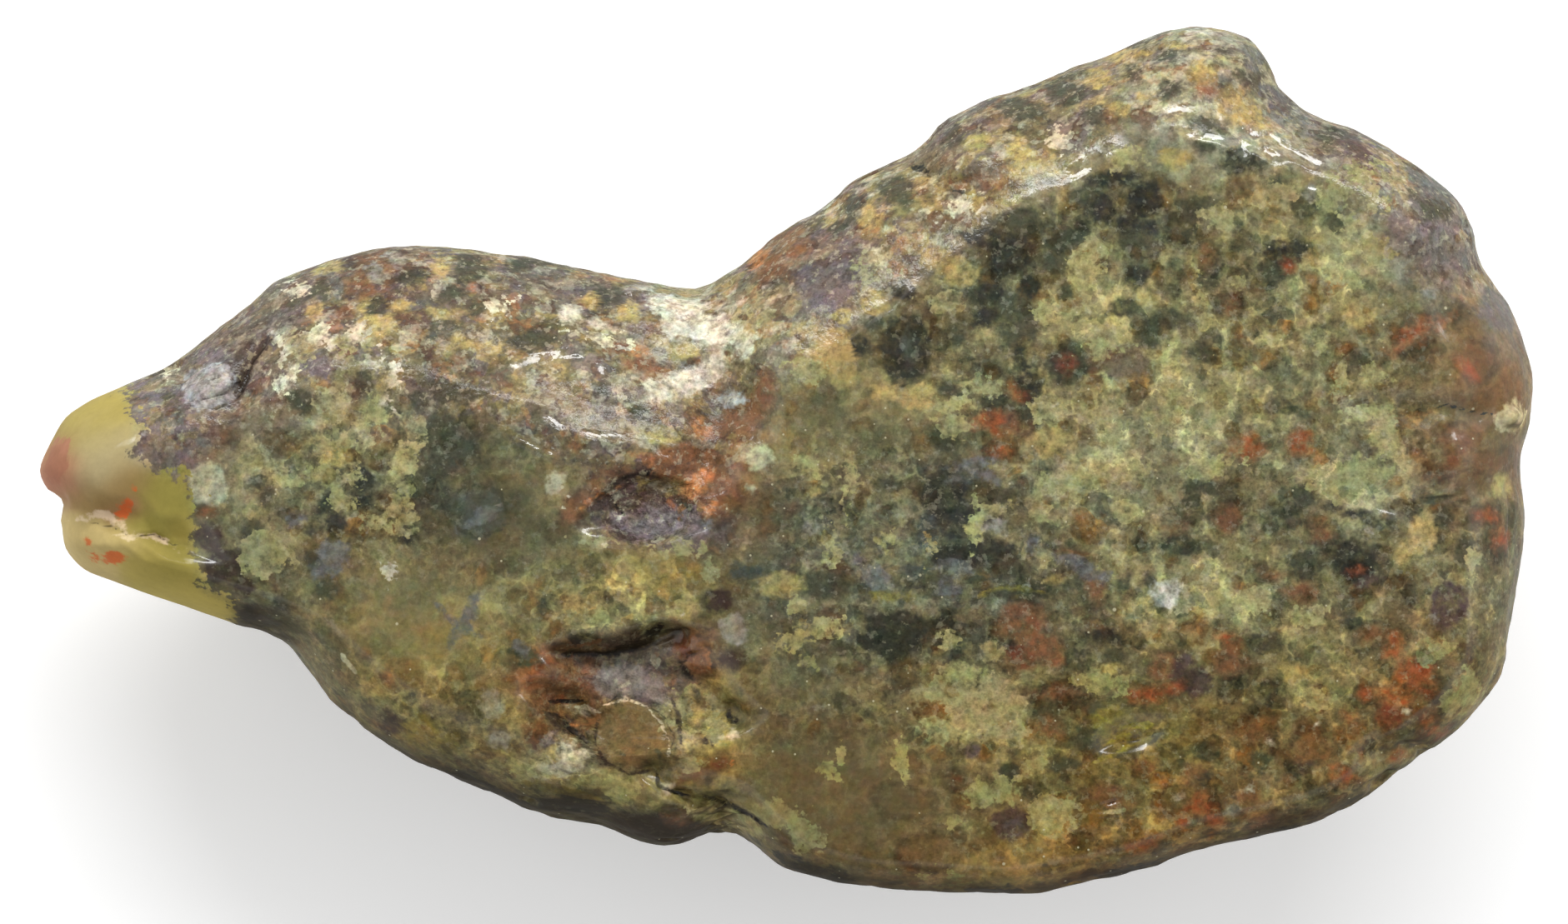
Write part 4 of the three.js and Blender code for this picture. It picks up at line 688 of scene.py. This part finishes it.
def strokes(seed):
    """The colour of the stroke that each point is deepest in and how deep it is in there, mm."""
    dice = np.random.default_rng(seed)
    colour_of = np.tile(linear("olive brown"), (len(points), 1))
    depth_of = np.full(len(points), -1.0)
    swayed = points + (bent - points) * (1 - face_up)[:, None]
    unsure = 0.12 * (1 - face_up) * noise(points, 1.2, 97, 2)
    for colour, text in STROKES.items():
        for stroke in text.split(";"):
            half, course = stroke.split(":")
            path = rows(course)
            away, along, length, _ = follow(path, swayed)
            taper = fade(-0.2, 0.5, along) * fade(-0.2, 0.5, length - along)
            runs = np.cumsum([0] + [math.dist(start, end) for start, end in zip(path, path[1:])])
            course_height = np.interp(along, runs, [top_height(x, y) for x, y in path])
            low = 0.22 * np.clip(course_height - 0.4 - points[:, 2], 0, 9) + unsure
            depth = (0.4 + 0.6 * taper - abs(away) / float(half)) * STROKE_EDGE - low
            deeper = depth > depth_of
            depth_of[deeper] = depth[deeper]
            colour_of[deeper] = linear(colour) * (1 + dice.uniform(-0.1, 0.1))
    return colour_of, depth_of


def marks(layer, seed):
    """A layer's colour at each point and how deep in a mark the point is, mm, below 0 outside them all."""
    dice = np.random.default_rng(seed)
    colour_of = np.tile(linear("olive brown"), (len(points), 1))
    depth_of = np.full(len(points), -1.0)
    for colour, text in layer.items():
        for x, y, long, wide, *turn in rows(text):
            turn = turn[0] if turn else dice.uniform(-12, 12)
            tint = linear(colour) * (1 + dice.uniform(-0.12, 0.12) + dice.uniform(-0.04, 0.04, 3))
            reach = max(long, wide) + MARK_MARGIN
            near = np.nonzero((abs(bent[:, 0] - x) < reach) & (abs(bent[:, 1] - y) < reach))[0]
            rise = (bent[near, 2] - top_height(x, y)) / (1.6 + 1.5 * max(long, wide))
            depth = (1 - np.hypot(oval(bent[near], x, y, long, wide, turn), rise)) * min(long, wide)
            deeper = depth > depth_of[near]
            depth_of[near[deeper]] = depth[deeper]
            colour_of[near[deeper]] = tint
    return colour_of, depth_of


def patches(text, bare):
    """A share at each point that starts at bare and changes in soft patches."""
    share = np.full(len(points), float(bare))
    ragged = 0.15 * noise(points, 1.5, 81, 2)
    for *middle, strength in rows(text):
        share += strength * (1 - fade(0.3, 1.5, oval(bent, *middle) + ragged))
    return np.clip(share, 0, 1)


# Where cells and web fill the stone between the marks or, with a strength below 0, where it is clear. Each as
# "x y half-length half-width turn strength".
CELLULAR = """17 0 9 9 0 1, 10 6 5 4 30 1, 23 -6 5 4 0 1, -17.5 -.5 4 3 0 1, 8 -8 5 4 0 .8,
    -7 -6 3 1.6 0 .6, 3.5 -3 3.5 4 0 .8, 16 -13 8 2.4 10 .9, -12 -11 5 1.6 -25 .8, 3 1.4 3 1.2 0 -.3,
    2.6 -13.2 3.6 2.4 0 -.6, -15 -6.6 2.6 2.2 -20 -.5, -11.5 -2 2 2 0 -.4, 27.8 2.4 2 5 0 -.6"""
# Where the skin is dusky: mauve and umber, with few pale crumbs.
DUSKY = """-22.6 3.6 2.6 2.4 30 1, -19.6 6.2 2.6 .9 30 .8, -9 6.9 4 .7 -8 .8, 1.6 7.2 2.4 1.4 35 .9,
    7 12.9 2.6 .8 22 .8, 11.5 14.3 3 1.2 25 .7, 19.4 15.4 1.2 1.6 -40 .9, 21.6 12.9 2.4 .7 -35 .9,
    25.8 9.6 1.4 2 -30 1, 17 14.8 2.4 1.6 0 .5, 26.6 7.9 1.6 .8 0 .9, -7.6 1.6 2.2 .9 -20 .7,
    -13 5.4 1.2 1 0 .4"""

# Spots in hollows that the polishing never reached, as "x y radius".
UNPOLISHED = """25.3 1.3 1.6, 23.4 1.5 1.1, 27 5 1.2, 14 13.2 1, -6 -3.4 1.8, -25.8 -3.3 1.4,
    -2.4 -11 1.4, -9.7 -10.2 1.4, -6 -11 1.9, -3 -13.9 1, 13.4 -11.6 .9, 29.05 1.7 .8"""
unpolished = np.zeros(len(points))
for x, y, radius in rows(UNPOLISHED):
    unpolished = np.maximum(unpolished, 1 - fade(0.5, 1, oval(points, x, y, radius, radius)))

# Painted shade on the sides that face down and forwards, away from the window, a little less towards the
# broad end, with noise.
SHADED_FACING = (0.1, -0.96, -0.25)
painted_lower_shade = point_normals(points) @ SHADED_FACING - 0.1 * fade(-2, 4, points[:, 0]) + 0.25 * noise(points, 2, 71, 3)

# What the finish reads at each point of the mesh.
kept = {
    "ground": soft_mix(ZONES),
    "nose colour": soft_mix(NOSE_ZONES),
    "nose depth": nose_depth + 0.25 * noise(points, 0.9, 61, 3),
    "skin": skin,
    "nose": smooth_nose,
    "cavity": hollow,
    "crack": crack_depth,
    "face": np.maximum(level, polish),
    "upward": face_up,
    "polish": polish,
    "unpolished": unpolished,
    # painted shade on the sides that face down and forwards
    "painted_lower_shade": fade(0.36, 0.76, painted_lower_shade),
    "cellular": patches(CELLULAR, 0.5) * (1 - skin) * (1 - smooth_nose),
    "dusk": patches(DUSKY, 0),
}
layers = {"cells": CELLS, "web": WEB, "cores": CORES, "grains": GRAINS, "nose cells": NOSE_MARKS}
for seed, (name, layer) in enumerate(layers.items(), 1):
    kept[name + " colour"], kept[name + " depth"] = marks(layer, seed)
kept["strokes colour"], kept["strokes depth"] = strokes(6)
for name, values in kept.items():
    kind, field = ("FLOAT_VECTOR", "vector") if values.ndim == 2 else ("FLOAT", "value")
    attribute = stone_mesh.attributes.new(name, kind, "POINT")
    attribute.data.foreach_set(field, values.ravel().astype(np.float32))


class Wire:
    """A socket of a material's nodes. Arithmetic on it adds Math nodes."""

    def __init__(self, tree, socket=None):
        self.tree = tree
        self.socket = socket

    def node(self, kind, settings, sockets, output=0):
        """Add a node: its settings first, then the values or links of its sockets."""
        made = self.tree.nodes.new("ShaderNode" + kind)
        for name, value in settings.items():
            setattr(made, name, value)
        for name, value in sockets.items():
            if isinstance(value, Wire):
                self.tree.links.new(made.inputs[name], value.socket)
            else:
                made.inputs[name].default_value = value
        return Wire(self.tree, made.outputs[output] if made.outputs else None)

    def math(self, operation, *values):
        return self.node("Math", {"operation": operation}, dict(enumerate(values)))

    def __add__(self, other):
        return self.math("ADD", self, other)

    __radd__ = __add__

    def __mul__(self, other):
        return self.math("MULTIPLY", self, other)

    __rmul__ = __mul__

    def __sub__(self, other):
        return self.math("SUBTRACT", self, other)

    def __rsub__(self, other):
        return self.math("SUBTRACT", other, self)

    def step(self, low, high):
        """0 up to low, 1 from high, with a smooth change between."""
        sockets = {"Value": self, "From Min": low, "From Max": high}
        return self.node("MapRange", {"interpolation_type": "SMOOTHSTEP"}, sockets)

    def blend(self, bare, covered):
        """The first colour where this mask is 0 and the second where it is 1."""
        return self.node("Mix", {"data_type": "RGBA"}, {0: self, 6: bare, 7: covered}, 2)

    def tint(self, colour, factors):
        """A colour whose red, green and blue are multiplied by factors where this mask is 1."""
        sockets = {0: colour, 1: self.blend((1, 1, 1, 1), factors)}
        return self.node("VectorMath", {"operation": "MULTIPLY"}, sockets)

    def shade(self, colour):
        """A colour made lighter or darker by this value."""
        return self.node("VectorMath", {"operation": "SCALE"}, {"Vector": colour, "Scale": self})

    def output(self, name):
        """Another output of the same node."""
        return Wire(self.tree, self.socket.node.outputs[name])

    def attribute(self, name, output="Fac"):
        return self.node("Attribute", {"attribute_name": name}, {}, output)


stone_finish = bpy.data.materials.new("agatised dung")
stone_finish.use_nodes = True
stone_finish.node_tree.nodes.clear()
base = Wire(stone_finish.node_tree)
place = base.node("TexCoord", {}, {}, "Object")


def grain(size, offset, rough=0.6, detail=3.0):
    """Noise around 0 with swells of `size` mm, another one for each offset."""
    shifted = base.node("VectorMath", {"operation": "ADD"}, {0: place, 1: (offset, offset, offset)})
    sockets = {"Vector": shifted, "Scale": 1 / (size * MM), "Detail": detail, "Roughness": rough}
    return base.node("TexNoise", {}, sockets) - 0.5


def three_grains(size, rough, spread, middle):
    """Three noises with swells of `size` mm in one, each spread round its own middle."""
    sockets = {"Vector": place, "Scale": 1 / (size * MM), "Detail": 3.0, "Roughness": rough}
    noises = base.node("TexNoise", {}, sockets, "Color")
    return base.node("VectorMath", {"operation": "MULTIPLY_ADD"}, {0: noises, 1: spread, 2: middle})


def paint(colour):
    """A colour as a socket takes it."""
    return (*linear(colour), 1)


skin_share = base.attribute("skin")
nose_share = base.attribute("nose")
cavity_share = base.attribute("cavity")
cell_share = base.attribute("cellular")
lower_shade_share = base.attribute("painted_lower_shade")
dusk_share = base.attribute("dusk")
polish_share = base.attribute("polish")
stone_share = 1 - nose_share
in_stone = stone_share * (1 - skin_share * 0.6)
fine_jag = grain(0.28, 0, 0.55)
soft_jag = grain(0.9, 0.02, 0.55)
swell = grain(2.4, 0.03)
dust = grain(0.09, 0.04, detail=2.0)
speckle = grain(0.2, 0.05, detail=2.0)
crumbs = grain(0.45, 0.06)
bend = three_grains(1.3, 0.55, (1.2 * MM, 1.2 * MM, 1.2 * MM), place)


def drops(size, least, spread, rare, jag):
    """Round drops in cells of `size` mm: how far a point is inside one, whether it is there, and its hue."""
    dice = base.node("TexVoronoi", {}, {"Vector": bend, "Scale": 1 / (size * MM)}, "Color")
    luck = base.node("SeparateColor", {}, {"Color": dice}, "Red")
    bulk = luck.output("Blue") * spread + least
    inward = bulk - dice.output("Distance") + soft_jag * jag + fine_jag * 0.3
    return inward, luck.step(rare, rare + 0.02), luck.output("Green").step(0.4, 0.6)


# Round cells like drops, in two sizes, in a lace of pale web that is thickest in the web's own marks. Some
# are greenish, some brown with a warm heart. Size in mm, least radius, spread of the radius and rarity.
CELL_SIZES = ((1.9, 0.3, 0.24, 0.25), (1.0, 0.28, 0.24, 0.4))
THREAD = (1.48, 1.48, 1.4, 1)
GREEN_BODY, BROWN_BODY = (0.52, 0.56, 0.6, 1), (0.72, 0.62, 0.54, 1)
GREEN_HEART, WARM_HEART = (1.15, 1.15, 1.2, 1), (1.35, 1.05, 0.85, 1)
colour = base.attribute("ground", "Vector")
in_web = (base.attribute("web depth") + soft_jag * 1.4 + fine_jag * 0.8).step(-0.25, 0.25)
web_width = in_web * 0.3 + swell * 0.7 + 0.08 + fine_jag * 0.22
amount = (cell_share * 0.8 + 0.2) * in_stone
lace = 0.0
for size, least, spread, rare in CELL_SIZES:
    spot = {"Vector": bend, "Scale": 1 / (size * MM)}
    from_edge = base.node("TexVoronoi", {"feature": "DISTANCE_TO_EDGE"}, spot, "Distance")
    thread = (web_width - from_edge).step(0, 0.06)
    lace = thread + lace - thread * lace
    colour = (thread * amount).tint(colour, THREAD)
    inward, there, hue = drops(size, least, spread, rare, 0.25)
    colour = (inward.step(-0.03, 0.05) * there * amount).tint(colour, hue.blend(GREEN_BODY, BROWN_BODY))
    colour = (inward.step(0.1, 0.26) * there * amount).tint(colour, hue.blend(GREEN_HEART, WARM_HEART))

# Crumbs of every size and colour: thick in the skin, thin in the polished face. Colour, size in mm, where the
# noise begins and ends, how thick in the skin and on the face, and how much of them the dusk takes.
CRUMBS = (
    ("mauve", 1.5, 0, 0.06, 0.6, 0, 0), ("umber", 1.0, 0.04, 0.09, 0.6, 0.12, 0),
    ("ochre", 1.2, 0.02, 0.07, 0.55, 0.1, 0.8), ("dark olive", 1.3, 0.03, 0.09, 0.45, 0.3, 0),
    ("cream", 0.9, 0.05, 0.1, 0.55, 0.05, 0.7), ("rust", 1.0, 0.06, 0.11, 0.45, 0.15, 0.7),
    ("purple", 0.8, 0.05, 0.1, 0.4, 0.08, 0), ("web", 0.8, 0.04, 0.1, 0.2, 0.25, 0.8),
    ("orange", 1.1, 0.1, 0.15, 0.3, 0, 0.8),
)
for crumb, size, low, high, on_skin, on_face, dusk_loss in CRUMBS:
    patch = grain(size, 0.07 + size * 0.01, 0.55).step(low, high)
    amount = skin_share * on_skin + (1 - skin_share) * (cell_share * on_face) + cavity_share * (on_skin * 0.5)
    colour = (patch * amount * (1 - dusk_share * dusk_loss)).blend(colour, paint(crumb))

# The marks, lowest layer first: how ragged their edges are, how soft, how strong and how unevenly filled, and
# how dark their rims are. The web is cut to a lace.
MARK_EDGES = (
    ("cells", 0.6, 0.16, 0.8, 1.5, 0), ("cores", 0.6, 0.26, 0.8, 1.6, 0.8), ("web", 1.8, 0.07, 0.85, 2.4, 0),
    ("grains", 0.7, 0.12, 0.7, 1.2, 0), ("strokes", 0.8, 0.1, 0.8, 1.6, 0),
)
RIM = (0.62, 0.62, 0.66, 1)
for name, ragged, softness, strength, uneven, rim_share in MARK_EDGES:
    jagged = fine_jag * (ragged * (skin_share * 0.3 + 0.7)) + soft_jag * ragged
    inward = base.attribute(name + " depth") + jagged
    if rim_share:
        rim = inward.step(-0.4, -0.2) * (1 - inward.step(-0.1, 0.1)) * rim_share
        colour = rim.tint(colour, RIM)
    mask = inward.step(-softness, softness) * (strength + crumbs * uneven).step(0, 1)
    if name == "web":
        mask = mask * (lace * 0.75 + 0.25)
    colour = mask.blend(colour, base.attribute(name + " colour", "Vector"))

# Small dark drops all through the web: size in mm, least radius, spread of the radius, rarity and raggedness.
SMALL_DROPS = (0.75, 0.2, 0.3, 0.5, 0.3)
GREEN_DROP, BROWN_DROP = (0.62, 0.67, 0.7, 1), (0.76, 0.68, 0.6, 1)
inward, there, hue = drops(*SMALL_DROPS)
amount = there * cell_share * in_stone
colour = (inward.step(-0.04, 0.08) * amount).tint(colour, hue.blend(GREEN_DROP, BROWN_DROP))

# Dark and pale flecks: colour, size in mm, offset, where the noise begins, and how thick they are in the
# cells, in the skin and everywhere.
FLECKS = (("umber", 0.4, 0.21, 0.06, 0.15, 0.3, 0.1), ("cream", 0.36, 0.23, 0.07, 0.1, 0.25, 0.05))
for fleck, size, offset, low, in_cells, in_skin, everywhere in FLECKS:
    amount = cell_share * in_cells + skin_share * in_skin + everywhere
    colour = (grain(size, offset).step(low, low + 0.06) * amount).blend(colour, paint(fleck))

# The nose over all of these, with mauve crumbs along its edge and its own marks.
nose_rim = base.attribute("nose depth")
along_nose = (nose_rim + 0.9 + soft_jag * 3).step(-0.2, 0.3)
rim_crumbs = along_nose * (crumbs + 0.02).step(-0.03, 0.03) * stone_share * skin_share
colour = (rim_crumbs * 0.8).blend(colour, paint("mauve"))
nose_edge = (nose_rim + fine_jag * 2 + soft_jag * 1.6 + crumbs * 1.2).step(-0.12, 0.12)
colour = nose_edge.blend(colour, base.attribute("nose colour", "Vector"))
mask = (base.attribute("nose cells depth") + fine_jag * 0.5).step(-0.08, 0.08) * 0.8
colour = mask.blend(colour, base.attribute("nose cells colour", "Vector"))

# Light and dark swells, warm and cool ones, a cooler and lighter upper half over a warmer and darker lower
# half, the skin warmer where it faces up, painted shade on the lower edge and painted shade in the cracks.
COOL, WARM = (0.93, 1.0, 1.03, 1), (1.06, 0.99, 0.95, 1)
LOWER, UPPER = (0.93, 0.91, 0.88, 1), (0.96, 1.03, 1.3, 1)
SKIN_TINT = (1.12, 1.05, 1.02, 1)
LOWER_SHADE_COLOUR = (0.016, 0.011, 0.005, 1)
colour = stone_share.tint(colour, grain(1.6, 0.12).step(-0.12, 0.12).blend(COOL, WARM))
upper_half = base.node("SeparateXYZ", {}, {"Vector": place}, "Y").step(-0.011, -0.004)
colour = stone_share.tint(colour, upper_half.blend(LOWER, UPPER))
colour = (skin_share * base.attribute("upward")).tint(colour, SKIN_TINT)
mottle = three_grains(0.6, 0.6, (0.5, 0.36, 0.6), (0.75, 0.82, 0.7))
colour = stone_share.blend(colour, base.node("VectorMath", {"operation": "MULTIPLY"}, {0: colour, 1: mottle}))
busy = (cell_share * 0.5 + skin_share * 0.45 + cavity_share * 0.5 + 0.4) * (1 - nose_share * 0.7)
colour = (0.88 + swell * 0.45 + (crumbs * 1.3 + speckle * 1.2 + dust * 0.7) * busy).shade(colour)
# Painted shade: the sides that face down and forwards darkened towards brown-black.
colour = (lower_shade_share * stone_share * 0.75).blend(colour, LOWER_SHADE_COLOUR)
# Painted shade in the cracks and under the ledges, darkened towards ink.
painted_crack_shade = (base.attribute("crack") + fine_jag * 0.8).step(0.2, 0.9) * 0.7
colour = painted_crack_shade.blend(colour, paint("ink"))

# White specks, partly dust and partly painted glints: the spacing in mm, the radius as a share of it, and how
# many of the spots have one.
SPECKS_AND_GLINTS = ((1.1, 0.08, 0.1), (0.45, 0.12, 0.16))
for size, widest, share in SPECKS_AND_GLINTS:
    dice = base.node("TexVoronoi", {}, {"Vector": place, "Scale": 1 / (size * MM)}, "Color")
    luck = base.node("SeparateColor", {}, {"Color": dice}, "Red").step(1 - share, 1.01 - share)
    speck_and_glint = dice.output("Distance").step(widest, widest * 0.6)
    colour = (speck_and_glint * luck * stone_share * 0.6).blend(colour, paint("white"))

# The gloss: full on the level face and the facets, less in the skin, the cavity, the nose and the sides
# darkened with painted shade.
BUMP_HEIGHT = 0.1 * MM
roughness = 0.13 + skin_share * 0.12 - polish_share * 0.14 + cavity_share * 0.4 + speckle * 0.3
rough_share = (skin_share * 0.9 + 0.04 + cavity_share * 0.9) * (1 - polish_share * 0.93)
bump_height = (grain(0.45, 0.11) + 0.5) * rough_share
bump = base.node("Bump", {}, {"Height": bump_height, "Strength": 1.0, "Distance": BUMP_HEIGHT})
surface = {"Base Color": colour, "Normal": bump}
glossy = base.node("BsdfPrincipled", {}, {**surface, "Roughness": roughness, "IOR": 1.54})
dull = base.node("BsdfPrincipled", {}, {**surface, "Roughness": 0.7, "Specular IOR Level": 0.05})
gloss = (base.attribute("face") * 0.8 + 0.2) * (1 - cavity_share * 0.5) * (1 - lower_shade_share * 0.85)
gloss = gloss * (1 - nose_share * 0.85) * (1 - base.attribute("unpolished") * 0.95)
gloss = gloss * (1 - skin_share * (1 - polish_share) * 0.4)
base.node("OutputMaterial", {}, {"Surface": base.node("MixShader", {}, {0: gloss, 1: dull, 2: glossy})})
stone_mesh.materials.clear()
stone_mesh.materials.append(stone_finish)

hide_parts("coprolite")
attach(stone, "root")

# ---------------------------------------------------------------------------------------------------------
# The table: a wide sheet of smooth white board under the stone, which isn't part of it.

HALF = 0.6  # half of the board's side, m
BOARD = {
    "Base Color": (0.97, 0.97, 0.97, 1),
    "Emission Color": (1, 1, 1, 1),
    "Emission Strength": 0.15,
    "Roughness": 0.8,
    "Specular IOR Level": 0.2,
}
table_mesh = bpy.data.meshes.new("table")
table_corners = [(-HALF, -HALF, 0), (HALF, -HALF, 0), (HALF, HALF, 0), (-HALF, HALF, 0)]
table_mesh.from_pydata(table_corners, [], [(0, 1, 2, 3)])
table = bpy.data.objects.new("table", table_mesh)
bpy.context.scene.collection.objects.link(table)
board = bpy.data.materials.new("white board")
board.use_nodes = True
for name, value in BOARD.items():
    board.node_tree.nodes["Principled BSDF"].inputs[name].default_value = value
table_mesh.materials.append(board)

# ---------------------------------------------------------------------------------------------------------
# The lights: a small bright window behind the stone, three wide soft fills round it, and a weak even sky that
# is dark straight above, where the face would mirror it, and dimmer in front.

AIM = Vector((0, 0, 0.01))  # what the lights face, m
SKY_STRENGTH, ZENITH_LOSS, FRONT_LOSS = 0.93, 0.88, 0.4


def light(name, azimuth, elevation, away, wide, high, watts):
    """An area light that faces the stone from a compass direction and a height in degrees."""
    lamp = bpy.data.lights.new(name, "AREA")
    lamp.shape = "RECTANGLE"
    lamp.size = wide
    lamp.size_y = high
    lamp.energy = watts
    holder = bpy.data.objects.new(name, lamp)
    holder.visible_glossy = name == "window"
    a, e = math.radians(azimuth), math.radians(elevation)
    towards = Vector((math.sin(a) * math.cos(e), math.cos(a) * math.cos(e), math.sin(e)))
    holder.location = towards * away + AIM
    holder.rotation_euler = towards.to_track_quat("Z", "Y").to_euler()
    bpy.context.scene.collection.objects.link(holder)


light("window", 5, 42, 0.7, 0.7, 0.12, 4)
light("left fill", -75, 40, 0.8, 0.5, 0.5, 0.8)
light("right fill", 80, 40, 0.8, 0.5, 0.5, 0.8)
light("front fill", 180, 60, 0.8, 0.5, 0.5, 0.8)
world = bpy.data.worlds.new("room")
world.use_nodes = True
world.node_tree.nodes.clear()
sky = Wire(world.node_tree)
up = sky.node("SeparateXYZ", {}, {"Vector": sky.node("TexCoord", {}, {}, "Generated")}, "Z")
in_front = up.output("Y").step(-0.1, -0.7)
strength = (SKY_STRENGTH - up.step(0.75, 0.92) * ZENITH_LOSS) * (1 - in_front * FRONT_LOSS)
room = sky.node("Background", {}, {"Color": (1, 1, 1, 1), "Strength": strength})
sky.node("OutputWorld", {}, {"Surface": room})
bpy.context.scene.world = world
bpy.context.scene.view_settings.view_transform = "Standard"

# ---------------------------------------------------------------------------------------------------------
# The camera: straight above the stone, far enough away to flatten it.

VIEW_WIDTH = 62.7  # what the view takes in at the height of the stone's rim, mm
CAMERA_HEIGHT = 900  # above the rim, mm
RIM_HEIGHT = 12.5  # mm
SENSOR_WIDTH = 36
PIXELS_PER_MM = 30
VIEW_MIDDLE = (-0.5, -3)  # pixels right of and above the frame's origin
camera_data = bpy.data.cameras.new("camera")
camera_data.sensor_width = SENSOR_WIDTH
camera_data.lens = CAMERA_HEIGHT * SENSOR_WIDTH / VIEW_WIDTH
camera_data.clip_start = 0.001
camera_data.clip_end = 10
camera = bpy.data.objects.new("camera", camera_data)
camera_x, camera_y = (pixels / PIXELS_PER_MM * MM for pixels in VIEW_MIDDLE)
camera.location = (camera_x, camera_y, (CAMERA_HEIGHT + RIM_HEIGHT) * MM)
bpy.context.scene.collection.objects.link(camera)
bpy.context.scene.camera = camera
